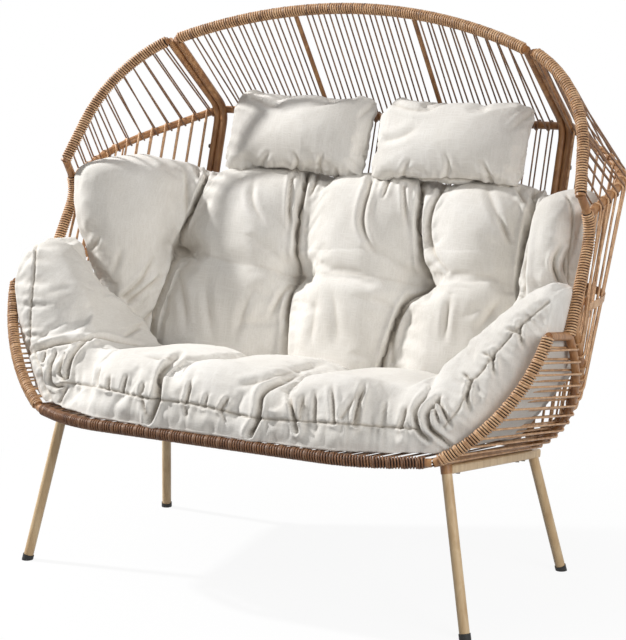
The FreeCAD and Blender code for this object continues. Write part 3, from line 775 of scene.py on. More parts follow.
@dataclass
class WoundRim:
    """Tube wound with cord, turn beside turn. It stands for the solid of its own name."""

    name: str
    wire: Wire
    bare_ends: tuple[float, float]
    cord: str = "wicker"
    tube_r: float = 0.0102
    core_r: float = 0.0108
    cord_r: float = 0.0023
    outer_r: float = 0.0148
    pitch: float = 0.0067

    def build(self, wardrobe: Wardrobe) -> None:
        """Make the bare tube, its winding and a near-black under layer beneath the winding, which is painted
        shade in the gaps between the turns.

        Args:
            wardrobe: the finishes.
        """
        wound = self.wire.cut(self.bare_ends[0], self.wire.length - self.bare_ends[1])
        turns = wound.helix(self.outer_r - self.cord_r, self.pitch)
        for layer, points, radius, fineness, slot, finish in (
            ("tube", self.wire.points[::4], self.tube_r, 5, "brown_tube", "brown_tube"),
            # The near-black core is painted shade that darkens the gaps between the winding's turns.
            ("core", wound.points[::4], self.core_r, 4, "wicker", "shaded winding core"),
            ("winding", turns, self.cord_r, 1, "wicker", self.cord),
        ):
            piece = tube_mesh(f"{self.name}_{layer}", [(points, False)], radius, fineness)
            wardrobe.dress(piece, slot, finish)
            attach(piece, ROOT_BODY)
            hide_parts(self.name)


@dataclass(frozen=True)
class Perch:
    """Place where a strand loops over a bar."""

    point: np.ndarray
    direction: np.ndarray


def perch(wire: Wire, share: float) -> Perch:
    """Place on a wire at a share of its length."""
    return Perch(wire.at(share * wire.length), wire.heading(share * wire.length))


def perch_at(wire: Wire, x: float) -> Perch:
    """Place on a wire that runs across the chair, at one width."""
    length = float(np.interp(x, wire.points[:, 0], wire.marks))
    return Perch(wire.at(length), wire.heading(length))


@dataclass
class StrandPanel:
    """Closed loops of cord between two bars."""

    name: str
    stands_for: str
    pairs: Sequence[tuple[Perch, Perch]]
    offset: float = 0.0128
    cord_r: float = 0.0023
    bend_steps: int = 6
    # By default the strands take the darker strand cord, as painted shade.
    finish: str = "shaded strand cord"

    def loop(self, top: Perch, low: Perch) -> np.ndarray:
        """Points of one loop round both bars.

        Args:
            top: its place on the upper bar.
            low: its place on the lower bar.

        Returns:
            The points of the closed loop.
        """
        along = unit(low.point - top.point)
        first, second = unit(np.cross(along, top.direction)), unit(np.cross(along, low.direction))
        if np.dot(first, second) < 0:
            second = -second
        angles = np.linspace(0, math.pi, self.bend_steps + 1)[:, None]
        return np.concatenate([
            point + (normal * np.cos(angles) + along * np.sin(angles)) * reach
            for point, normal, reach in ((top.point, first, -self.offset), (low.point, second, self.offset))
        ])

    def build(self, wardrobe: Wardrobe) -> None:
        """Make the panel's loops as one piece."""
        strokes = [(self.loop(top, low), True) for top, low in self.pairs]
        piece = tube_mesh(self.name, strokes, self.cord_r, 1)
        wardrobe.dress(piece, "wicker", self.finish)
        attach(piece, ROOT_BODY)
        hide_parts(self.stands_for)


@dataclass
class Shell:
    """The wound frame: arch, wings, arms and seat, with their strands."""

    lines: Skeleton
    wardrobe: Wardrobe
    pitch: float = 33
    stagger: float = 8
    rail_clear: float = 22.4
    rib_clear: float = 10.4
    wing_pairs: int = 12
    wing_room: float = 12.9
    hood_set: float = 0.6
    wall_set: float = 0.9
    arm_pairs: int = 12
    wall_cord_r: float = 0.0030
    arm_cord_r: float = 0.0028

    def places(self, stagger: float) -> list[float]:
        """Widths of the centre panel's loops, clear of its ribs."""
        count = int((self.lines.rail_x - self.rail_clear) / self.pitch)
        spots = [i * self.pitch + stagger for i in range(-count, count + 1)]
        return [x * MM for x in spots if abs(abs(x) - self.lines.rib_x) > self.rib_clear]

    def rims(self) -> list[WoundRim]:
        """All rims that are wound with cord. The posts are wound only below the knee."""
        lines = self.lines
        rims = [
            WoundRim("centre_arch", lines.centre_arch(), (0.004, 0.004)),
            # The front rail's winding is a darker cord, painted shade for the rail that lies under the seat.
            WoundRim("front_rail", lines.front_rail(), (0.022, 0.022), "shaded rail cord"),
        ]
        for name, wire, bare_ends in (
            ("wing_arch", lines.wing_arch(), (0.006, 0.002)),
            ("arm_rim", lines.arm_rim(), (0.003, 0.012)),
            ("wing_post", lines.post(), (0.055, 0.0)),
        ):
            rims += [WoundRim(f"{side.value}_{name}", self.on_side(wire, side), bare_ends) for side in Side]
        return rims

    def on_side(self, wire: Wire, side: Side) -> Wire:
        """The wire, or its mirror image for the left side."""
        return wire if side is Side.RIGHT else wire.mirrored()

    def panels(self) -> list[StrandPanel]:
        """All panels of strands."""
        lines = self.lines
        arch, bar, foot = lines.centre_arch(), lines.hood_bar(), lines.back_bar()
        hood = [(perch_at(arch, x), perch_at(bar, x)) for x in self.places(0)]
        back = [(perch_at(bar, x), perch_at(foot, x)) for x in self.places(self.stagger)]
        front, rear = lines.front_rail(), lines.seat_bar()
        count = int(front.length / (self.pitch * MM))
        seat = [(perch(front, i / count), perch(rear, i / count)) for i in range(1, count)]
        panels = [
            StrandPanel("hood_loops", "hood_strands", hood),
            StrandPanel("back_loops", "back_strands", back),
            StrandPanel("seat_loops", "seat_strands", seat),
        ]
        for side in Side:
            panels += self.side_panels(side)
        return panels

    def side_panels(self, side: Side) -> list[StrandPanel]:
        """Strand panels of one wing and arm.

        Args:
            side: the side that they are on.

        Returns:
            The panels of the wing's hood, the wing's wall and the arm.
        """
        lines = self.lines
        arch, middle, low, rim, rear = (self.on_side(wire, side) for wire in (
            lines.wing_arch(), lines.mid_bar(), lines.rear_tube(lines.wing_low_set), lines.arm_rim(),
            lines.rear_tube()))
        hood_shares = [(i + self.hood_set) / self.wing_room for i in range(self.wing_pairs)]
        wall_shares = [(i + self.wall_set) / self.wing_room for i in range(self.wing_pairs)]
        arm_shares = [(i + 1) / (self.arm_pairs + 1) for i in range(self.arm_pairs)]
        word = side.value
        return [
            StrandPanel(f"{word}_wing_hood_loops", f"{word}_wing_hood_strands",
                        [(perch(arch, share), perch(middle, share)) for share in hood_shares]),
            StrandPanel(f"{word}_wing_wall_loops", f"{word}_wing_wall_strands",
                        [(perch(middle, share), perch(low, 1 - share)) for share in wall_shares],
                        cord_r=self.wall_cord_r, finish="wicker"),
            StrandPanel(f"{word}_arm_loops", f"{word}_arm_strands",
                        [(perch(rim, share), perch(rear, share)) for share in arm_shares],
                        cord_r=self.arm_cord_r, finish="wicker"),
        ]

    def build(self) -> None:
        """Make the rims and the strands."""
        for rim in self.rims():
            rim.build(self.wardrobe)
            log.info("wound %s", rim.name)
        for panel in self.panels():
            panel.build(self.wardrobe)
            log.info("strung %s with %d loops", panel.name, len(panel.pairs))


@dataclass
class BareMetal:
    """Tubes, legs, caps and bolts that keep their solids and get a finish and a smooth shade."""

    wardrobe: Wardrobe
    sharp_turn: float = 0.6
    slots: dict[str, str] = field(default_factory=lambda: {
        "base_rail": "gold_tube",
        "front_leg_socket": "brown_tube",
        "front_leg": "gold_tube",
        "rear_leg": "gold_tube",
        "foot_cap": "cap",
        "bolts": "bolt",
        "wing_end_plug": "brown_tube",
        "tie_band": "wicker",
        "rail": "brown_tube",
        "rib": "brown_tube",
        "bar": "brown_tube",
        "tube": "brown_tube",
    })

    def smooth_shade(self) -> bpy.types.NodeTree:
        """Node group that merges a node's loose triangles and shades its flats as one round."""
        tree = bpy.data.node_groups.new("round_shade", "GeometryNodeTree")
        tree.interface.new_socket("Geometry", in_out="INPUT", socket_type="NodeSocketGeometry")
        tree.interface.new_socket("Geometry", in_out="OUTPUT", socket_type="NodeSocketGeometry")
        start, end = tree.nodes.new("NodeGroupInput"), tree.nodes.new("NodeGroupOutput")
        merge = tree.nodes.new("GeometryNodeMergeByDistance")
        merge.inputs["Distance"].default_value = 1e-5
        soft = tree.nodes.new("GeometryNodeSetShadeSmooth")
        turn = tree.nodes.new("GeometryNodeInputMeshEdgeAngle")
        above = tree.nodes.new("FunctionNodeCompare")
        above.data_type = "FLOAT"
        above.operation = "GREATER_THAN"
        above.inputs[1].default_value = self.sharp_turn
        edges = tree.nodes.new("GeometryNodeSetShadeSmooth")
        edges.domain = "EDGE"
        edges.inputs["Shade Smooth"].default_value = False
        tree.links.new(start.outputs[0], merge.inputs["Geometry"])
        tree.links.new(merge.outputs["Geometry"], soft.inputs["Geometry"])
        tree.links.new(soft.outputs["Geometry"], edges.inputs["Geometry"])
        tree.links.new(turn.outputs["Unsigned Angle"], above.inputs[0])
        tree.links.new(above.outputs["Result"], edges.inputs["Selection"])
        tree.links.new(edges.outputs["Geometry"], end.inputs[0])
        return tree

    def build(self) -> None:
        """Dress every node that stays shown."""
        group = self.smooth_shade()
        for name, node in NODES.items():
            slot = next((slot for part, slot in self.slots.items() if part in name), None)
            if slot is None or node.hide_render:
                continue
            self.wardrobe.dress(node, slot)
            node.modifiers.new("round_shade", "NODES").node_group = group


# Soft parts


def grown(values: np.ndarray, start: float, full: float) -> np.ndarray:
    """Share that grows evenly from 0 at one value to 1 at another, which may be the lower one."""
    return np.clip((values - start) / (full - start), 0, 1)


def hump(values: np.ndarray, width: float) -> np.ndarray:
    """Bell of height 1 round zero."""
    return np.exp(-(values / width) ** 2)


@dataclass(frozen=True)
class Picture:
    """The picture's viewpoint, which turns places of the frame into its pixels."""

    place: tuple[float, float, float] = (2.64460864, -4.508744, 1.59446668)
    tilt: float = 10.48006
    swing: float = 30.1248
    focal: float = 2127.428
    middle: tuple[float, float] = (313, 320)
    edge_on: tuple[float, float] = (0.03, 0.28)

    def axes(self) -> tuple[np.ndarray, np.ndarray, np.ndarray]:
        """Directions to the picture's right, into it and up it."""
        swing, tilt = math.radians(self.swing), math.radians(self.tilt)
        right = vec(math.cos(swing), math.sin(swing), 0)
        ahead = vec(-math.sin(swing) * math.cos(tilt), math.cos(swing) * math.cos(tilt), -math.sin(tilt))
        return right, ahead, np.cross(right, ahead)

    def pixels(self, rows: np.ndarray) -> tuple[np.ndarray, np.ndarray]:
        """Pixels of places, and how many pixels a metre takes there.

        Args:
            rows: places, one in each row.

        Returns:
            The pixels, one in each row, and the scale at each place.
        """
        right, ahead, upward = self.axes()
        offset = rows - np.array(self.place)
        scale = self.focal / (offset @ ahead)
        across = self.middle[0] + (offset @ right) * scale
        down = self.middle[1] - (offset @ upward) * scale
        return np.stack([across, down], axis=1), scale

    def facing(self, rows: np.ndarray, outward: np.ndarray) -> np.ndarray:
        """How much each place turns to the viewpoint, from 0 at its rim to 1."""
        sight = np.array(self.place) - rows
        sight /= np.linalg.norm(sight, axis=1, keepdims=True)
        return grown(np.sum(sight * outward, axis=1), *self.edge_on)


PICTURE = Picture()
Span = tuple[float, float]
Trail = tuple[tuple[float, float], ...]


def soft_noise(rows: np.ndarray, scale: float, seed: int) -> np.ndarray:
    """Smooth noise of -1 to 1 at places.

    Args:
        rows: places, one in each row.
        scale: how many blotches lie in a metre.
        seed: which noise it is.

    Returns:
        One value for each place.
    """
    size, clear_of_zero = 32, 100
    lattice = np.random.default_rng(seed).uniform(-1, 1, (size, size, size))
    grid = rows * scale + clear_of_zero
    base = np.floor(grid).astype(int)
    part = grid - base
    part = part * part * (3 - 2 * part)
    total = np.zeros(len(rows))
    for corner in range(8):
        step = np.array([corner & 1, corner >> 1 & 1, corner >> 2 & 1])
        weight = np.prod(np.where(step, part, 1 - part), axis=1)
        cell = (base + step) % size
        total += weight * lattice[cell[:, 0], cell[:, 1], cell[:, 2]]
    return total


def rounded_trail(trail: Trail, rounds: int = 2) -> np.ndarray:
    """Points of a line in the picture with its corners cut round."""
    line = np.array(trail, float)
    for _ in range(rounds if len(line) > 2 else 0):
        near, far = line[:-1] * 0.75 + line[1:] * 0.25, line[:-1] * 0.25 + line[1:] * 0.75
        inner = np.stack([near, far], axis=1).reshape(-1, 2)
        line = np.concatenate([line[:1], inner, line[-1:]])
    return line


def beside(spots: np.ndarray, line: np.ndarray) -> tuple[np.ndarray, np.ndarray]:
    """Signed distance from a line in the picture, and the length along it.

    Args:
        spots: pixels, one in each row.
        line: points of the line, one in each row.

    Returns:
        The distance, positive on the line's right as seen walking along it, and the length.
    """
    nearest = np.full(len(spots), np.inf)
    length = np.zeros(len(spots))
    start = 0.0
    for a, b in zip(line, line[1:]):
        run = b - a
        reach = np.hypot(*run)
        share = np.clip((spots - a) @ run / reach ** 2, 0, 1)
        away = spots - a - share[:, None] * run
        far = np.hypot(away[:, 0], away[:, 1])
        closer = far < np.abs(nearest)
        side = np.where(run[0] * away[:, 1] - run[1] * away[:, 0] >= 0, 1, -1)
        nearest = np.where(closer, far * side, nearest)
        length = np.where(closer, start + share * reach, length)
        start += reach
    return nearest, length


@dataclass
class Skin:
    """Cover of a cushion while it is tailored."""

    rows: np.ndarray
    outward: np.ndarray
    spots: np.ndarray
    scale: np.ndarray
    shown: np.ndarray
    rise: np.ndarray
    # Painted shade from 0 to 1 that the folds, seams and tufts leave on the cover.
    shade: np.ndarray

    @classmethod
    def of(cls, mesh: bpy.types.Mesh) -> "Skin":
        """Read the cover of a mesh."""
        rows, outward = coordinates(mesh), normals(mesh)
        spots, scale = PICTURE.pixels(rows)
        shown = PICTURE.facing(rows, outward)
        return cls(rows, outward, spots, scale, shown, np.zeros(len(rows)), np.zeros(len(rows)))

    def near(self, line: np.ndarray, margin: float) -> np.ndarray:
        """Vertices whose pixels lie round a line."""
        low, high = line.min(axis=0) - margin, line.max(axis=0) + margin
        inside = np.all((self.spots > low) & (self.spots < high), axis=1)
        return np.nonzero(inside & (self.shown > 0))[0]


@dataclass(frozen=True)
class Fold:
    """Valley pressed into a cover, with a ridge on each side.

    Its line is in pixels of the picture, and its sizes are in metres. The groove, where it has one, is a
    second valley in its floor, given by depth and width.
    """

    trail: Trail
    depth: float = 0.008
    width: float = 0.007
    ridge: float = 0.35
    ends: tuple[float, float] = (0.25, 0.0)
    groove: tuple[float, float] | None = None
    margin: float = 22
    run_in: float = 0.3
    run_out: float = 0.4
    steepest: float = 2.4
    widest_painted_shade: float = 0.004
    roundness: float = 1.6
    ridge_at: float = 2.1
    ridge_width: float = 1.1
    painted_shade_width: float = 0.55

    def press(self, skin: Skin) -> None:
        """Press the fold and its groove into a cover."""
        if self.groove:
            Fold(self.trail, *self.groove, 0.0, self.ends).press(skin)
        line = rounded_trail(self.trail)
        picked = skin.near(line, self.margin)
        if not len(picked):
            return
        away, length = beside(skin.spots[picked], line)
        away = np.abs(away) / skin.scale[picked]
        whole = np.sum(np.hypot(*np.diff(line, axis=0).T))
        share = length / whole
        start = self.ends[0] + (1 - self.ends[0]) * grown(share, 0, self.run_in)
        end = self.ends[1] + (1 - self.ends[1]) * grown(share, 1, 1 - self.run_out)
        strength = start * end * skin.shown[picked]
        valley = np.exp(-np.abs(away / self.width) ** self.roundness)
        flank = hump(away - self.ridge_at * self.width, self.ridge_width * self.width)
        skin.rise[picked] += self.depth * strength * (self.ridge * flank - valley)
        # Painted shade: a narrow dark line along the valley's floor, stronger where the fold is steep.
        narrow = hump(away, min(self.painted_shade_width * self.width, self.widest_painted_shade))
        steep = min(1, self.depth / self.width / self.steepest)
        skin.shade[picked] = np.maximum(skin.shade[picked], narrow * strength * steep)


@dataclass(frozen=True)
class Seam:
    """Sewn seam of a cover, with the small gathers that it pulls beside it."""

    trail: Trail
    depth: float = 0.0045
    width: float = 0.0035
    gather: float = 0.0028
    pitch: float = 9
    reach: float = 0.03
    seed: int = 1
    margin: float = 30
    plain: float = 0.006
    groove_painted_shade: float = 0.9
    groove_shade_width: float = 0.7
    hollow_painted_shade: float = 0.35
    draws: int = 64
    unevenness: float = 0.45
    slower: float = 0.7

    def press(self, skin: Skin) -> None:
        """Sew the seam into a cover. Its gathers are uneven, and none touches the thread itself."""
        line = rounded_trail(self.trail)
        picked = skin.near(line, self.margin)
        if not len(picked):
            return
        away, length = beside(skin.spots[picked], line)
        away = away / skin.scale[picked]
        shown = skin.shown[picked]
        wander = np.random.default_rng(self.seed).uniform(-1, 1, self.draws)
        ticks = np.arange(self.draws)
        beat = length / self.pitch
        beat += self.unevenness * np.interp(beat, ticks, wander)
        loud = 1 - self.unevenness + self.unevenness * np.interp(beat * self.slower, ticks, wander[::-1])
        fade = np.exp(-np.abs(away) / self.reach) * grown(np.abs(away), 0, self.plain)
        pucker = np.sin(2 * np.pi * beat) * loud * fade
        skin.rise[picked] += shown * (self.gather * pucker - self.depth * hump(away, self.width))
        # Painted shade along the seam's groove and in the hollows of its gathers.
        thread = self.groove_painted_shade * hump(away, self.groove_shade_width * self.width)
        hollow = self.hollow_painted_shade * np.clip(-pucker, 0, 1)
        skin.shade[picked] = np.maximum(skin.shade[picked], np.maximum(thread, hollow) * shown)


@dataclass(frozen=True)
class Tuft:
    """Button sewn deep into a cover."""

    spot: tuple[float, float]
    depth: float = 0.03
    radius: float = 0.06
    wrinkles: int = 7
    wrinkle_height: float = 0.0024
    core_r: float = 0.011
    pit: float = 0.012
    rays_at: float = 0.42
    rays_width: float = 0.25

    def press(self, skin: Skin) -> None:
        """Pull the tuft into a cover."""
        offset = skin.spots - np.array(self.spot)
        away = np.hypot(offset[:, 0], offset[:, 1]) / skin.scale
        turn = np.arctan2(offset[:, 1], offset[:, 0])
        share = np.clip(away / self.radius, 0, 1)
        dimple = (1 - share) ** 2 * (1 + 2 * share)
        rays = np.sin(self.wrinkles * turn + self.spot[0]) * hump(share - self.rays_at, self.rays_width)
        core = hump(away, self.core_r)
        skin.rise += skin.shown * (self.wrinkle_height * rays - self.depth * dimple - self.pit * core)
        # Painted shade in the tuft's pit.
        skin.shade = np.maximum(skin.shade, core * skin.shown)


@dataclass(frozen=True)
class Swell:
    """Soft full place of a cover, or a slack one where its height is negative."""

    spot: tuple[float, float]
    spread: tuple[float, float]
    height: float

    def press(self, skin: Skin) -> None:
        """Lift the place."""
        offset = (skin.spots - np.array(self.spot)) / np.array(self.spread)
        skin.rise += skin.shown * self.height * np.exp(-np.sum(offset ** 2, axis=1))


Press = Fold | Seam | Tuft | Swell

BACK_WORK: dict[str, Press] = {
    "left tuft": Tuft((182, 249), 0.028, 0.075),
    "second tuft": Tuft((296, 274), 0.030, 0.075),
    "third tuft": Tuft((423, 284), 0.028, 0.07),
    "left wing seam": Fold(((212, 160), (201, 191), (191, 214), (183, 231), (181, 250), (172, 270),
        (163, 294), (154, 317), (153, 336)), 0.02, 0.006, 0.3, (1, 1), (0.012, 0.0026)),
    "fold beside it": Fold(((186, 167), (187, 193), (186, 214), (184, 231)), 0.008, 0.006),
    "short fold at its top": Fold(((197, 165), (200, 182)), 0.008, 0.005),
    "left wing fold over the arm": Fold(((122, 250), (112, 276)), 0.006, 0.008),
    "left wing long fold": Fold(((154, 256), (146, 278), (124, 298)), 0.012, 0.008, 0.4, (0, 1)),
    "left wing low fold": Fold(((167, 272), (146, 289), (128, 302)), 0.01, 0.007, 0.4, (0, 1)),
    "left wing corner fold": Fold(((100, 236), (90, 252)), 0.005, 0.007),
    "left wing foot fold": Fold(((158, 306), (146, 318), (140, 330)), 0.008, 0.006, 0.4, (0, 1)),
    "crease to the second tuft": Fold(((182, 249), (204, 254), (229, 261), (261, 266), (294, 273)),
        0.008, 0.02, 0.3, (0.9, 0.9)),
    "crease to the third tuft": Fold(((297, 274), (329, 272), (374, 276), (421, 284)),
        0.008, 0.02, 0.3, (0.9, 0.9)),
    "crease to the right wing": Fold(((424, 284), (444, 273), (484, 275), (521, 291)),
        0.008, 0.02, 0.3, (0.9, 0.6)),
    "second valley": Fold(((308, 172), (299, 212), (296, 247), (296, 274), (288, 300), (286, 325),
        (284, 385)), 0.017, 0.007, 0.3, (1, 1), (0.01, 0.0026)),
    "fold beside the second valley": Fold(((292, 178), (289, 205), (290, 233)), 0.009, 0.005, 0.5, (1, 0)),
    "fold right of the second valley": Fold(((318, 176), (309, 200)), 0.008, 0.005, 0.4, (1, 0)),
    "hanging fold of the second panel": Fold(((253, 180), (252, 204), (266, 226)), 0.007, 0.008),
    "first fold down from the second tuft": Fold(((294, 280), (279, 298), (268, 322)),
        0.008, 0.007, 0.4, (1, 0)),
    "long slack fold of the second panel": Fold(((252, 292), (240, 322), (236, 345)), 0.006, 0.01),
    "upright slack fold of the second panel": Fold(((206, 285), (210, 320), (213, 342)), 0.005, 0.011),
    "slack fold by the left wing": Fold(((178, 268), (184, 300), (186, 335)), 0.006, 0.009),
    "top fold of the third panel": Fold(((371, 182), (362, 216), (366, 238), (378, 256)),
        0.011, 0.007, 0.45, (1, 0)),
    "short top fold of the third panel": Fold(((389, 180), (382, 200)), 0.008, 0.005, 0.4, (1, 0)),
    "second top fold of the third panel": Fold(((404, 186), (405, 212), (408, 228)),
        0.008, 0.005, 0.4, (1, 0)),
    "third valley": Fold(((424, 178), (418, 216), (420, 250), (423, 283), (409, 296), (396, 318),
        (376, 385)), 0.019, 0.007, 0.3, (1, 1), (0.011, 0.0026)),
    "fold right of the third valley": Fold(((444, 186), (429, 214), (430, 250), (446, 271)),
        0.011, 0.006, 0.5, (1, 0.3)),
    "fold under the third tuft": Fold(((420, 292), (402, 312), (393, 332), (392, 362)),
        0.01, 0.006, 0.5, (1, 0.5)),
    "slack fold of the fourth panel": Fold(((452, 296), (446, 322), (444, 345)), 0.008, 0.008),
    "long slack fold of the fourth panel": Fold(((500, 300), (486, 320), (474, 334)), 0.007, 0.009),
    "hanging fold of the fourth panel": Fold(((484, 182), (496, 212), (510, 244)), 0.006, 0.009),
    "short fold of the fourth panel": Fold(((500, 218), (511, 246)), 0.007, 0.005),
    "top fold of the fourth panel": Fold(((519, 190), (528, 208)), 0.009, 0.005, 0.4, (1, 0)),
    "slack fold of the third panel": Fold(((333, 290), (338, 320), (336, 350)), 0.006, 0.012),
    "low slack fold of the third panel": Fold(((318, 300), (312, 326), (310, 350)), 0.005, 0.009),
    "right wing seam": Fold(((538, 188), (530, 216), (524, 250), (521, 275), (521, 300)),
        0.024, 0.008, 0.3, (1, 1), (0.01, 0.0028)),
    "right wing bundle": Fold(((561, 246), (552, 260), (556, 278), (568, 294)),
        0.011, 0.0045, 0.6, (0.3, 0.8)),
    "right wing second bundle": Fold(((568, 250), (562, 268), (570, 284)), 0.009, 0.004, 0.6),
    "right wing edge seam": Seam(((562, 186), (573, 208), (572, 236), (567, 262), (571, 296)),
        0.005, 0.0035, 0.003, 12, 0.016, 5),
    "second panel": Swell((244, 215), (34, 34), 0.012),
    "second panel foot": Swell((232, 300), (36, 26), 0.010),
    "third panel": Swell((352, 222), (36, 34), 0.012),
    "third panel foot": Swell((340, 306), (34, 26), 0.010),
    "fourth panel": Swell((476, 226), (30, 34), 0.014),
    "fourth panel foot": Swell((466, 306), (30, 22), 0.012),
    "left wing": Swell((140, 215), (40, 36), 0.010),
    "right wing": Swell((550, 232), (14, 40), 0.012),
}

SEAT_WORK: dict[str, Press] = {
    "front seam": Seam(((64, 383), (84, 384), (108, 389), (132, 395), (156, 400), (183, 402), (204, 406),
        (228, 412), (252, 418), (279, 420), (331, 423), (362, 425), (416, 429)),
        0.0055, 0.0036, 0.0035, 10, 0.03, 3),
    "left flap seam": Seam(((37, 236), (35, 257), (33, 283), (30, 313), (30, 343), (27, 356)),
        0.0055, 0.0034, 0.0036, 15, 0.03, 7),
    "right flap seam": Seam(((444, 428), (462, 404), (470, 383), (486, 366), (503, 343), (524, 322),
        (548, 302)), 0.0055, 0.0036, 0.0036, 11, 0.024, 9),
    "fold where the left flap turns up": Fold(((30, 354), (44, 346), (70, 341), (90, 340)),
        0.014, 0.006, 0.4, (0.6, 0.4)),
    "tent of the left fold": Fold(((90, 340), (101, 336), (118, 342), (144, 346)),
        0.01, 0.005, 0.4, (0.6, 0.3)),
    "crease down the left panel": Fold(((90, 340), (78, 348), (70, 360), (67, 378)),
        0.014, 0.005, 0.5, (0.5, 1)),
    "crease of the left flap": Fold(((144, 324), (130, 333), (120, 340)), 0.006, 0.005),
    "left corner outer fold": Fold(((36, 354), (40, 371), (49, 399)), 0.011, 0.004, 0.5, (1, 0.5)),
    "left corner fold": Fold(((56, 352), (49, 368), (51, 388), (62, 386)), 0.012, 0.004, 0.5, (0.6, 1)),
    "left corner inner fold": Fold(((66, 355), (58, 372), (64, 380)), 0.011, 0.0035, 0.5, (0.6, 1)),
    "left corner short fold": Fold(((46, 350), (42, 362)), 0.008, 0.0035, 0.5, (0.6, 1)),
    "left corner low fold": Fold(((66, 388), (60, 398), (58, 408)), 0.009, 0.005, 0.5, (1, 0)),
    "first gather of the left panel": Fold(((102, 366), (98, 376), (97, 384)), 0.008, 0.004, 0.6, (0, 1)),
    "second gather of the left panel": Fold(((110, 374), (108, 389)), 0.008, 0.004, 0.6, (0, 1)),
    "third gather of the left panel": Fold(((127, 374), (123, 391)), 0.008, 0.004, 0.6, (0, 1)),
    "fourth gather of the left panel": Fold(((144, 380), (141, 396)), 0.007, 0.004, 0.6, (0, 1)),
    "gather under the left seam": Fold(((142, 398), (146, 412), (150, 420)), 0.009, 0.004, 0.5, (1, 0)),
    "first valley": Fold(((182, 354), (163, 370), (159, 382), (157, 402), (150, 420)),
        0.022, 0.0065, 0.4, (0.2, 1)),
    "first valley groove": Fold(((170, 362), (160, 380), (157, 402), (151, 418)), 0.01, 0.003, 0.0, (0, 1)),
    "wrinkle behind the first valley": Fold(((180, 356), (169, 360), (143, 357)), 0.006, 0.005),
    "gather of the middle panel": Fold(((192, 382), (186, 402)), 0.01, 0.0045, 0.6, (0, 1)),
    "second gather of the middle panel": Fold(((208, 392), (204, 407)), 0.006, 0.004, 0.6, (0, 1)),
    "third gather of the middle panel": Fold(((229, 396), (221, 410)), 0.01, 0.0045, 0.6, (0, 1)),
    "gather under the middle seam": Fold(((184, 404), (188, 420)), 0.006, 0.004, 0.5, (1, 0)),
    "second gather under the middle seam": Fold(((222, 412), (226, 424)), 0.006, 0.004, 0.5, (1, 0)),
    "second valley": Fold(((300, 376), (268, 388), (259, 397), (259, 416), (250, 434)),
        0.02, 0.0065, 0.4, (0.2, 1)),
    "second valley groove": Fold(((268, 388), (259, 397), (259, 416), (251, 432)),
        0.01, 0.003, 0.0, (0, 1)),
    "notch right of it": Fold(((288, 392), (291, 405), (295, 422), (297, 432)),
        0.014, 0.0045, 0.6, (0, 0.6)),
    "first gather of the right panel": Fold(((303, 394), (300, 419)), 0.008, 0.005, 0.6, (0, 1)),
    "second gather of the right panel": Fold(((316, 390), (314, 420)), 0.008, 0.005, 0.6, (0, 1)),
    "third gather of the right panel": Fold(((332, 386), (334, 422)), 0.009, 0.005, 0.6, (0, 1)),
    "tall tent of the right panel": Fold(((364, 386), (358, 404), (355, 424)), 0.016, 0.005, 0.6, (0.1, 1)),
    "low side of the tent": Fold(((360, 392), (341, 417)), 0.008, 0.006, 0.3, (0, 1)),
    "gather by the right corner": Fold(((407, 404), (401, 427)), 0.009, 0.0045, 0.6, (0, 1)),
    "second gather by the right corner": Fold(((386, 400), (381, 426)), 0.006, 0.005, 0.6, (0, 1)),
    "right corner outer fold": Fold(((428, 392), (415, 410), (417, 430), (428, 440)),
        0.016, 0.005, 0.5, (0.3, 0.6)),
    "right corner swirl": Fold(((440, 397), (426, 412), (428, 428), (450, 446)),
        0.018, 0.005, 0.5, (0.4, 0.6)),
    "right corner core": Fold(((438, 400), (446, 416), (450, 426)), 0.014, 0.004, 0.5, (0.6, 0.4)),
    "right corner inner fold": Fold(((434, 406), (439, 426)), 0.01, 0.0035, 0.5),
    "front fold of the right flap": Fold(((470, 383), (466, 396), (471, 413)),
        0.012, 0.0045, 0.5, (0.8, 0)),
    "second front fold of the right flap": Fold(((494, 352), (492, 368), (497, 378)),
        0.01, 0.0045, 0.5, (0.8, 0)),
    "third front fold of the right flap": Fold(((520, 324), (520, 340), (526, 350)),
        0.01, 0.0045, 0.5, (0.8, 0)),
    "top fold of the right flap": Fold(((462, 372), (472, 382)), 0.008, 0.004, 0.5, (0, 1)),
    "second top fold of the right flap": Fold(((482, 352), (494, 358)), 0.008, 0.004, 0.5, (0, 1)),
    "third top fold of the right flap": Fold(((506, 328), (518, 332)), 0.008, 0.004, 0.5, (0, 1)),
    "rear line of the pad": Fold(((243, 385), (271, 378), (305, 370), (333, 361)),
        0.007, 0.007, 0.4, (0.5, 0)),
    "left panel": Swell((112, 358), (34, 14), 0.010),
    "middle panel": Swell((208, 370), (36, 16), 0.012),
    "right panel": Swell((340, 384), (48, 14), 0.010),
    "left flap": Swell((72, 290), (26, 40), 0.012),
    "front border left": Swell((110, 408), (30, 10), 0.006),
    "front border middle": Swell((205, 424), (36, 10), 0.007),
    "front border right": Swell((350, 438), (50, 10), 0.007),
}


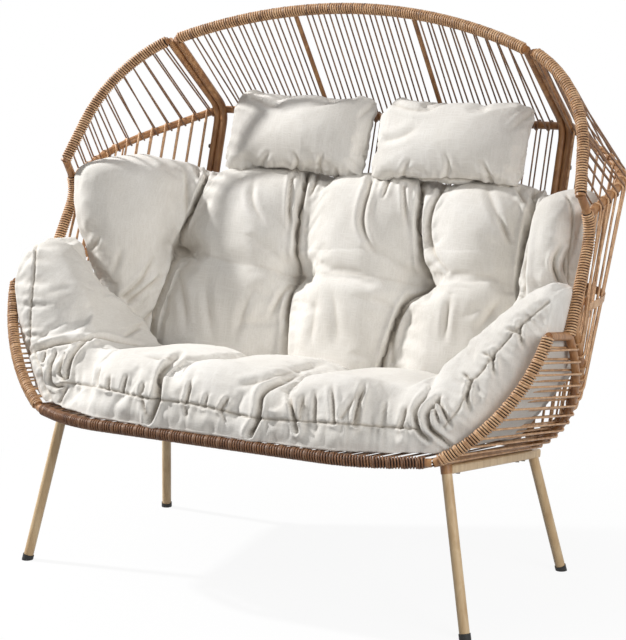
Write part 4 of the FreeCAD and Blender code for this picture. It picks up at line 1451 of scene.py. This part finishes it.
PILLOW_WORK: dict[Side, dict[str, Press]] = {
    Side.LEFT: {
        "bottom seam": Seam(((233, 173), (258, 171), (284, 168), (312, 173), (343, 179), (360, 181)),
            0.004, 0.0032, 0.003, 9, 0.02, 13),
        "plump middle": Swell((306, 134), (44, 28), 0.016),
        "fold at the lower left": Fold(((262, 172), (263, 160), (272, 150)), 0.005, 0.006, 0.5, (1, 0)),
        "fold under the middle": Fold(((296, 171), (299, 160), (294, 151)), 0.006, 0.006, 0.5, (1, 0)),
        "fold at the lower right": Fold(((322, 176), (319, 162), (325, 152)), 0.006, 0.005, 0.5, (1, 0)),
        "short fold at the lower right": Fold(((338, 178), (335, 166)), 0.005, 0.004, 0.5, (1, 0)),
        "fold from the upper left": Fold(((252, 97), (268, 106), (286, 110)), 0.004, 0.007, 0.4, (1, 0)),
        "fold from the upper right": Fold(((380, 100), (366, 112), (356, 120)), 0.005, 0.007, 0.4, (1, 0)),
    },
    Side.RIGHT: {
        "bottom seam": Seam(((384, 182), (412, 180), (440, 178), (472, 180), (500, 186), (521, 189)),
            0.004, 0.0032, 0.003, 9, 0.02, 17),
        "plump middle": Swell((462, 142), (46, 28), 0.016),
        "fold at the lower left": Fold(((404, 180), (404, 168), (412, 158)), 0.005, 0.006, 0.5, (1, 0)),
        "fold under the middle": Fold(((446, 178), (450, 164), (446, 152)), 0.005, 0.006, 0.5, (1, 0)),
        "fold at the lower right": Fold(((492, 184), (487, 170), (480, 160)), 0.007, 0.006, 0.5, (1, 0)),
        "dent on the left": Fold(((386, 140), (402, 137), (420, 126)), 0.005, 0.009, 0.4, (1, 0)),
        "fold from the upper left": Fold(((394, 104), (412, 110), (440, 110)), 0.005, 0.007, 0.4, (1, 0)),
        "fold from the upper right": Fold(((538, 110), (520, 122), (508, 134)), 0.005, 0.007, 0.4, (1, 0)),
    },
}


LINEN_CLOTH = {
    "quality": 4,
    "mass": 0.25,
    "tension_stiffness": 20,
    "compression_stiffness": 20,
    "shear_stiffness": 8,
    "bending_stiffness": 0.4,
    "use_pressure": True,
}


def turned(facing: np.ndarray) -> np.ndarray:
    """How surely a surface faces one way: 0 when it turns off by more than 70 degrees, 1 below 48."""
    return np.clip(facing * 3 - 1, 0, 1)


@dataclass
class Cushion:
    """Stuffed piece: the solid's form, swelled by cloth under pressure and then tailored."""

    name: str
    node: str
    body: str
    voxel: float = 0.0075
    cloth_voxel: float = 0.012
    inset: float = 0.004
    pressure: float = 4.0
    cap: float = 0.022
    slack: float = 0.05
    softening: int = 5
    fill: float = 0.6
    lumps: float = 0.0022
    lump_scales: tuple[float, float] = (9, 21)
    creases: float = 0.0007
    crease_scale: float = 26
    crease_drawn_up: float = 0.45
    welded: float = 1e-5
    least_held: float = 0.02
    deepest: float = 0.05
    ticks: int = 20
    neighbours: int = 4
    seed: int = 1
    work: dict[str, Press] = field(default_factory=dict)

    def skin(self, voxel: float) -> bpy.types.Object:
        """Copy of the solid with one even skin.

        Args:
            voxel: width of its meshes.

        Returns:
            The new object.
        """
        mesh = NODES[self.node].data.copy()
        mesh.name = self.name
        piece = bpy.data.objects.new(self.name, mesh)
        bpy.context.scene.collection.objects.link(piece)
        form = bmesh.new()
        form.from_mesh(mesh)
        bmesh.ops.remove_doubles(form, verts=form.verts, dist=self.welded)
        bmesh.ops.recalc_face_normals(form, faces=form.faces)
        form.to_mesh(mesh)
        form.free()
        even = piece.modifiers.new("skin", "REMESH")
        even.mode = "VOXEL"
        even.voxel_size = voxel
        self.apply(piece)
        rows = self.shaped(coordinates(piece.data))
        place_vertices(piece.data, rows)
        form = bmesh.new()
        form.from_mesh(piece.data)
        for _ in range(self.softening):
            bmesh.ops.smooth_vert(form, verts=form.verts, factor=0.5, use_axis_x=True, use_axis_y=True,
                                  use_axis_z=True)
        form.to_mesh(piece.data)
        form.free()
        piece.data.update()
        return piece

    def shaped(self, rows: np.ndarray) -> np.ndarray:
        """Places of the skin after its panels have shifted to where the real ones lie."""
        return rows

    def apply(self, piece: bpy.types.Object) -> None:
        """Turn the piece's modifiers into its mesh."""
        bpy.context.view_layer.update()
        shaped = bpy.data.meshes.new_from_object(piece.evaluated_get(bpy.context.evaluated_depsgraph_get()))
        old = piece.data
        piece.modifiers.clear()
        piece.data = shaped
        shaped.name = self.name
        bpy.data.meshes.remove(old)

    def resting(self, rows: np.ndarray, outward: np.ndarray) -> np.ndarray:
        """How firmly each vertex is held, from 0 to 1.

        Args:
            rows: vertex places, not used here; the cushions that override this read them.
            outward: vertex normals.

        Returns:
            One share for each vertex.
        """
        return turned(-outward[:, 2])

    def swelling(self) -> tuple[np.ndarray, np.ndarray]:
        """Swell a coarse skin with cloth under pressure.

        Returns:
            The vertices of the coarse skin, and how far each moves.
        """
        piece = self.skin(self.cloth_voxel)
        rows, outward = coordinates(piece.data), normals(piece.data)
        held = self.resting(rows, outward)
        group = piece.vertex_groups.new(name="held")
        for index in np.nonzero(held > self.least_held)[0]:
            group.add([int(index)], float(held[index]), "REPLACE")
        cloth = piece.modifiers.new("stuffing", "CLOTH")
        for setting, value in LINEN_CLOTH.items():
            setattr(cloth.settings, setting, value)
        cloth.settings.uniform_pressure_force = self.pressure
        cloth.settings.shrink_min = -self.slack
        cloth.settings.vertex_group_mass = group.name
        cloth.settings.effector_weights.gravity = 0
        cloth.collision_settings.use_collision = False
        cloth.point_cache.frame_start = 1
        cloth.point_cache.frame_end = self.ticks
        scene = bpy.context.scene
        for tick in range(1, self.ticks + 1):
            scene.frame_set(tick)
        swelled = coordinates(piece.evaluated_get(bpy.context.evaluated_depsgraph_get()).data)
        scene.frame_set(1)
        mesh = piece.data
        bpy.data.objects.remove(piece)
        bpy.data.meshes.remove(mesh)
        return rows, swelled - rows

    def stuff(self, piece: bpy.types.Object) -> None:
        """Give the fine skin the coarse one's swelling, capped."""
        rows, outward = coordinates(piece.data), normals(piece.data)
        held = self.resting(rows, outward)
        coarse, move = self.swelling()
        tree = KDTree(len(coarse))
        for index, place in enumerate(coarse):
            tree.insert(place, index)
        tree.balance()
        shift = np.zeros_like(rows)
        for index, place in enumerate(rows):
            found = tree.find_n(place, self.neighbours)
            weights = np.array([1 / (far + 1e-4) for _, _, far in found])
            shift[index] = weights @ move[[which for _, which, _ in found]] / weights.sum()
        far = np.linalg.norm(shift, axis=1, keepdims=True)
        rows += shift * np.minimum(1, self.cap / np.maximum(far, 1e-9))
        rows -= outward * (self.inset * (1 - held))[:, None]
        place_vertices(piece.data, rows)

    def refine(self, piece: bpy.types.Object) -> None:
        """Add one subdivision to the skin."""
        finer = piece.modifiers.new("finer", "SUBSURF")
        finer.levels = finer.render_levels = 1
        self.apply(piece)

    def tailor(self, piece: bpy.types.Object) -> None:
        """Sew the seams and press the folds into the finished skin."""
        skin = Skin.of(piece.data)
        held = self.resting(skin.rows, skin.outward)
        for work in self.work.values():
            work.press(skin)
        broad, fine = (soft_noise(skin.rows, scale, self.seed + k) for k, scale in enumerate(self.lump_scales))
        lumps = broad + 0.5 * fine
        upright = skin.rows * vec(1, 1, self.crease_drawn_up)
        creases = 1 - 2 * np.abs(soft_noise(upright, self.crease_scale, self.seed + 2))
        skin.rise += (1 - held) * (self.lumps * lumps + self.creases * creases)
        skin.rise = np.where(skin.rise < 0, self.deepest * np.tanh(skin.rise / self.deepest), skin.rise)
        place_vertices(piece.data, skin.rows + skin.outward * skin.rise[:, None])
        # The gathered painted shade is kept on the mesh, for the linen to darken its folds, seams and tufts
        # with.
        shade = piece.data.attributes.new("painted_fold_shade", "FLOAT", "POINT")
        shade.data.foreach_set("value", skin.shade.astype(np.float32))

    def build(self, wardrobe: Wardrobe) -> None:
        """Make the cushion.

        Args:
            wardrobe: the finishes.
        """
        piece = self.skin(self.voxel)
        self.stuff(piece)
        self.refine(piece)
        self.tailor(piece)
        piece.data.polygons.foreach_set("use_smooth", [True] * len(piece.data.polygons))
        wardrobe.dress(piece, "linen")
        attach(piece, self.body)
        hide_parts(self.node)
        log.info("stuffed %s with %d faces", self.name, len(piece.data.polygons))


@dataclass
class BackCushion(Cushion):
    """Back cushion, whose channels stand where the real ones do and whose top edge waves between them."""

    solid_channels: tuple[float, ...] = (-0.70, -0.54, -0.18, 0.18, 0.54, 0.70)
    real_channels_top: tuple[float, ...] = (-0.70, -0.455, -0.105, 0.235, 0.525, 0.70)
    real_channels_foot: tuple[float, ...] = (-0.70, -0.535, -0.14, 0.20, 0.515, 0.70)
    top_z: float = 0.948
    foot_z: float = 0.50
    wave: float = 0.016
    wave_reach: float = 0.12
    wave_width: float = 0.05
    channel_hold: float = 0.9
    channel_width: float = 0.014
    left_wing_forward: float = 0.072
    left_wing_outward: float = 0.030
    left_wing_top: float = 0.034
    right_wing_forward: float = 0.010
    right_wing_outward: float = 0.008
    right_wing_top: float = 0.022
    low_flank_outward: float = 0.034
    top_rise: float = 0.010
    wing_heights: Span = (0.62, 0.84)
    wing_top_heights: Span = (0.80, 0.92)
    left_wing_widths: Span = (-0.46, -0.60)
    right_wing_widths: Span = (0.54, 0.64)
    wing_depths: Span = (0.20, 0.06)
    flank_widths: Span = (0.50, 0.64)
    low_heights: Span = (0.70, 0.58)
    top_heights: Span = (0.86, 0.94)

    def shaped(self, rows: np.ndarray) -> np.ndarray:
        """Shift the channels across, and draw the top edge down at each."""
        rise = grown(rows[:, 2], self.foot_z, self.top_z)
        top = np.interp(rows[:, 0], self.solid_channels, self.real_channels_top)
        foot = np.interp(rows[:, 0], self.solid_channels, self.real_channels_foot)
        rows[:, 0] = foot + (top - foot) * rise
        near_top = grown(rows[:, 2], self.top_z - self.wave_reach, self.top_z)
        for channel in self.real_channels_top[1:-1]:
            rows[:, 2] -= self.wave * near_top * hump(rows[:, 0] - channel, self.wave_width)
        return self.fuller_wings(rows)

    def fuller_wings(self, rows: np.ndarray) -> np.ndarray:
        """Plump the wings out over the posts, as the picture has them."""
        across, height = rows[:, 0].copy(), rows[:, 2].copy()
        high, low = grown(height, *self.wing_heights), grown(height, *self.low_heights)
        left = grown(across, *self.left_wing_widths) * high
        right = grown(across, *self.right_wing_widths) * high
        flank = grown(np.abs(across), *self.flank_widths)
        forward = grown(rows[:, 1], *self.wing_depths)
        wing_top = grown(height, *self.wing_top_heights)
        rows[:, 2] += wing_top * (self.left_wing_top * left + self.right_wing_top * right)
        rows[:, 2] += self.top_rise * grown(rows[:, 2], *self.top_heights) * (1 - flank)
        rows[:, 1] -= forward * (self.left_wing_forward * left + self.right_wing_forward * right)
        rows[:, 0] += self.right_wing_outward * right - self.left_wing_outward * left
        rows[:, 0] += self.low_flank_outward * np.sign(across) * flank * low
        return rows

    def resting(self, rows: np.ndarray, outward: np.ndarray) -> np.ndarray:
        """Held on its rear and underside, and along its channels."""
        still = np.maximum(turned(outward[:, 1]), turned(-outward[:, 2]))
        rise = grown(rows[:, 2], self.foot_z, self.top_z)
        for top, foot in zip(self.real_channels_top[1:-1], self.real_channels_foot[1:-1]):
            line = foot + (top - foot) * rise
            still = np.maximum(still, self.channel_hold * hump(rows[:, 0] - line, self.channel_width))
        return still


@dataclass
class SeatCushion(Cushion):
    """Seat cushion, held under its pad and along its channels."""

    channels: tuple[float, ...] = (-0.15, 0.15)
    channel_hold: float = 0.85
    channel_width: float = 0.012
    flank_x: float = 0.52
    left_flap_forward: float = 0.055
    left_flap_top: float = 0.022
    right_flap_top: float = 0.012
    flank_outward: float = 0.020
    foot_outward: float = 0.038
    rear_set_back: float = 0.035
    rail_top: float = 0.4262
    edge_forward: float = 0.014
    edge_drop: float = 0.012
    belly_forward: float = 0.026
    belly_z: float = 0.512
    belly_height: float = 0.034
    flap_heights: Span = (0.50, 0.66)
    flap_top_heights: Span = (0.62, 0.74)
    flap_depths: Span = (0.05, -0.13)
    left_flap_widths: Span = (-0.50, -0.66)
    right_flap_widths: Span = (0.54, 0.68)
    flank_widths: Span = (0.54, 0.64)
    foot_widths: Span = (0.40, 0.52)
    foot_heights: Span = (0.66, 0.56)
    rear_depths: Span = (-0.12, -0.04)
    rear_heights: Span = (0.70, 0.60)
    edge_heights: Span = (0.475, 0.440)
    edge_set_backs: Span = (0.075, 0.025)
    belly_set_backs: Span = (0.10, 0.04)

    def shaped(self, rows: np.ndarray) -> np.ndarray:
        """Plump the left flap forward and up over the arm, and the right one up."""
        across, height = rows[:, 0].copy(), rows[:, 2].copy()
        high = grown(height, *self.flap_heights)
        left = grown(across, *self.left_flap_widths) * high
        right = grown(across, *self.right_flap_widths) * high
        flap_top = grown(height, *self.flap_top_heights)
        rows[:, 1] -= self.left_flap_forward * left * grown(rows[:, 1], *self.flap_depths)
        rows[:, 2] += flap_top * (self.left_flap_top * left + self.right_flap_top * right)
        flank = grown(np.abs(across), *self.flank_widths)
        foot = grown(np.abs(across), *self.foot_widths) * grown(rows[:, 2], *self.foot_heights)
        outward = self.flank_outward * flank + self.foot_outward * foot * (1 - 0.5 * flank)
        rows[:, 0] += outward * np.sign(across)
        rear = grown(rows[:, 1], *self.rear_depths) * grown(rows[:, 2], *self.rear_heights)
        rows[:, 1] += self.rear_set_back * flank * rear
        return self.over_the_rail(rows)

    def over_the_rail(self, rows: np.ndarray) -> np.ndarray:
        """Let the front border bulge at its seam, and its lower edge sag onto the rail."""
        rail = Skeleton().front_rail()
        rail_y = np.interp(rows[:, 0], rail.points[:, 0], rail.points[:, 1])
        set_back = rows[:, 1] - rail_y
        edge = grown(set_back, *self.edge_set_backs) * grown(rows[:, 2], *self.edge_heights)
        belly = grown(set_back, *self.belly_set_backs) * hump(rows[:, 2] - self.belly_z, self.belly_height)
        rows[:, 1] -= self.edge_forward * edge + self.belly_forward * belly
        sagged = np.maximum(rows[:, 2] - self.edge_drop * edge, self.rail_top)
        rows[:, 2] = np.where(edge > 0, np.minimum(rows[:, 2], sagged), rows[:, 2])
        return rows

    def resting(self, rows: np.ndarray, outward: np.ndarray) -> np.ndarray:
        """Held on its underside and flanks, and along its channels."""
        flank = turned(outward[:, 0] * np.sign(rows[:, 0])) * (np.abs(rows[:, 0]) > self.flank_x)
        still = np.maximum(flank, turned(-outward[:, 2]))
        for channel in self.channels:
            still = np.maximum(still, self.channel_hold * hump(rows[:, 0] - channel, self.channel_width))
        return still


@dataclass
class Pillow(Cushion):
    """Head pillow, a little wider than its solid, with round corners and a low hem."""

    widen: float = 1.06
    corner: tuple[float, float] = (0.016, 0.014)
    corner_from: tuple[float, float] = (0.74, 0.56)
    hem_drop: float = 0.009
    hold: float = 0.8

    def shaped(self, rows: np.ndarray) -> np.ndarray:
        """Widen the pillow about its middle, draw its corners in and let its hem down."""
        low, high = rows.min(axis=0), rows.max(axis=0)
        middle, half = (high + low) / 2, (high - low) / 2
        across, up = ((rows - middle) / half)[:, [0, 2]].T
        drawn = grown(np.abs(across), self.corner_from[0], 1) * grown(np.abs(up), self.corner_from[1], 1)
        rows[:, 0] = middle[0] + across * half[0] * self.widen - np.sign(across) * drawn * self.corner[0]
        rows[:, 2] -= np.sign(up) * drawn * self.corner[1] + self.hem_drop * np.clip(-up, 0, 1)
        return rows

    def resting(self, rows: np.ndarray, outward: np.ndarray) -> np.ndarray:
        """Held at its rear, where it leans on the strands."""
        return self.hold * turned(outward[:, 1] - 0.2)


@dataclass
class SoftParts:
    """The loose cushions of the chair."""

    wardrobe: Wardrobe

    def build(self) -> None:
        """Make every cushion."""
        SeatCushion("seat_pad", "seat_cushion", "seat_cushion", work=SEAT_WORK, seed=11).build(self.wardrobe)
        BackCushion("back_pad", "back_cushion", ROOT_BODY, softening=11, work=BACK_WORK,
                    seed=21).build(self.wardrobe)
        for side, seed in ((Side.LEFT, 31), (Side.RIGHT, 41)):
            node = f"{side.value}_head_pillow"
            Pillow(f"{side.value}_pillow", node, node, voxel=0.005, cloth_voxel=0.009, cap=0.02, slack=0.09,
                   work=PILLOW_WORK[side], seed=seed).build(self.wardrobe)


# Studio


@dataclass(frozen=True)
class Lamp:
    """Soft square lamp: where it hangs, where it points, the width of its face and its power in watts."""

    name: str
    place: tuple[float, float, float]
    target: tuple[float, float, float]
    size: float
    power: float

    def build(self) -> None:
        """Hang the lamp."""
        data = bpy.data.lights.new(self.name, "AREA")
        data.size = self.size
        data.energy = self.power
        lamp = bpy.data.objects.new(self.name, data)
        lamp.location = self.place
        lamp.rotation_euler = (Vector(self.target) - Vector(self.place)).to_track_quat("-Z", "Y").to_euler()
        bpy.context.scene.collection.objects.link(lamp)


@dataclass(frozen=True)
class Studio:
    """Pale floor, soft lamps and the camera."""

    lamps: tuple[Lamp, ...] = (
        Lamp("key", (-4.2, -0.66, 3.7), (0, 0, 0.65), 0.28, 336),
        Lamp("fill", (4.2, -1.8, 2.4), (0, 0, 0.7), 2.4, 108),
    )
    picture_width: float = 626
    sensor_width: float = 36
    floor_half: float = 12.0
    world_level: float = 0.29
    shadow_reach: tuple[float, float] = (0.6, 1.5)
    near_white: float = 0.92
    floor_seen: tuple[float, float] = (0.80, 0.82)
    floor_light: tuple[float, float] = (0.27, 0.29)
    floor_grain: float = 60
    floor_steps: Steps = (0.3, 0.7)
    floor_relief: tuple[float, float] = (0.0002, 0.1)
    floor_roughness: float = 0.9
    clip_end: float = 100

    def camera(self) -> None:
        """Set the camera up at the picture's viewpoint."""
        data = bpy.data.cameras.new("camera")
        data.sensor_width = self.sensor_width
        data.sensor_fit = "HORIZONTAL"
        data.lens = PICTURE.focal / self.picture_width * self.sensor_width
        data.clip_end = self.clip_end
        camera = bpy.data.objects.new("camera", data)
        camera.location = PICTURE.place
        camera.rotation_euler = (math.radians(90 - PICTURE.tilt), 0, math.radians(PICTURE.swing))
        bpy.context.scene.collection.objects.link(camera)
        bpy.context.scene.camera = camera

    def floor(self) -> None:
        """Lay the floor, which shows white and keeps the shadow."""
        mesh = bpy.data.meshes.new("floor")
        form = bmesh.new()
        bmesh.ops.create_grid(form, x_segments=4, y_segments=4, size=self.floor_half)
        form.to_mesh(mesh)
        form.free()
        floor = bpy.data.objects.new("floor", mesh)
        bpy.context.scene.collection.objects.link(floor)
        shader = Shader("floor_white")
        seen = self.seen(shader.tree)
        grain = shader.noise(self.floor_grain, 2)
        pale, dim = (
            shader.ramp(grain, self.floor_steps, ((low, low, low), (high, high, high)))
            for low, high in (self.floor_seen, self.floor_light)
        )
        relief = shader.bump(grain, *self.floor_relief)
        material = shader.finish(shader.blend(seen, dim, pale), self.floor_roughness, relief)
        self.show_white(shader, seen)
        mesh.materials.append(material)

    def seen(self, tree: bpy.types.NodeTree) -> Socket:
        """Share that is 1 where the camera, gloss or glass looks, and 0 where only light is gathered."""
        path = tree.nodes.new("ShaderNodeLightPath")
        seen = path.outputs["Is Camera Ray"]
        for ray in ("Is Glossy Ray", "Is Transmission Ray"):
            either = tree.nodes.new("ShaderNodeMath")
            either.operation = "MAXIMUM"
            tree.links.new(seen, either.inputs[0])
            tree.links.new(path.outputs[ray], either.inputs[1])
            seen = either.outputs[0]
        return seen

    def show_white(self, shader: Shader, seen: Socket) -> None:
        """Show the floor white where it is seen, faintly shadowed near the chair and all white further away.

        Args:
            shader: the floor's material.
            seen: 1 where the camera, gloss or glass sees the floor.
        """
        tree = shader.tree
        distance = tree.nodes.new("ShaderNodeVectorMath")
        distance.operation = "LENGTH"
        shader.link(shader.place, distance.inputs[0])
        away = tree.nodes.new("ShaderNodeMapRange")
        away.interpolation_type = "SMOOTHSTEP"
        away.inputs["From Min"].default_value = self.shadow_reach[0]
        away.inputs["From Max"].default_value = self.shadow_reach[1]
        away.inputs["To Min"].default_value = self.near_white
        shader.link(distance.outputs["Value"], away.inputs["Value"])
        glow = tree.nodes.new("ShaderNodeEmission")
        glow.inputs["Color"].default_value = (1, 1, 1, 1)
        mix = tree.nodes.new("ShaderNodeMixShader")
        shader.link(shader.maths("MULTIPLY", seen, away.outputs["Result"]), mix.inputs["Fac"])
        shader.link(shader.surface.outputs["BSDF"], mix.inputs[1])
        shader.link(glow.outputs["Emission"], mix.inputs[2])
        shader.link(mix.outputs["Shader"], tree.nodes["Material Output"].inputs["Surface"])

    def world(self) -> None:
        """Even grey light for the object, and white behind it."""
        world = bpy.data.worlds.new("studio")
        world.use_nodes = True
        bpy.context.scene.world = world
        tree = world.node_tree
        background = tree.nodes["Background"]
        background.inputs["Color"].default_value = (1, 1, 1, 1)
        level = tree.nodes.new("ShaderNodeMapRange")
        level.inputs["To Min"].default_value = self.world_level
        level.inputs["To Max"].default_value = 1.0
        tree.links.new(self.seen(tree), level.inputs["Value"])
        tree.links.new(level.outputs["Result"], background.inputs["Strength"])

    def build(self) -> None:
        """Set up the whole studio."""
        self.camera()
        self.floor()
        self.world()
        for lamp in self.lamps:
            lamp.build()
        bpy.context.scene.view_settings.view_transform = "Standard"


def main() -> None:
    """Build the chair's pieces in order, then the studio."""
    logging.basicConfig(level=logging.INFO, format="%(name)s: %(message)s")
    wardrobe = Wardrobe()
    Shell(Skeleton(), wardrobe).build()
    SoftParts(wardrobe).build()
    BareMetal(wardrobe).build()
    Studio().build()


if __name__ == "__main__":
    main()
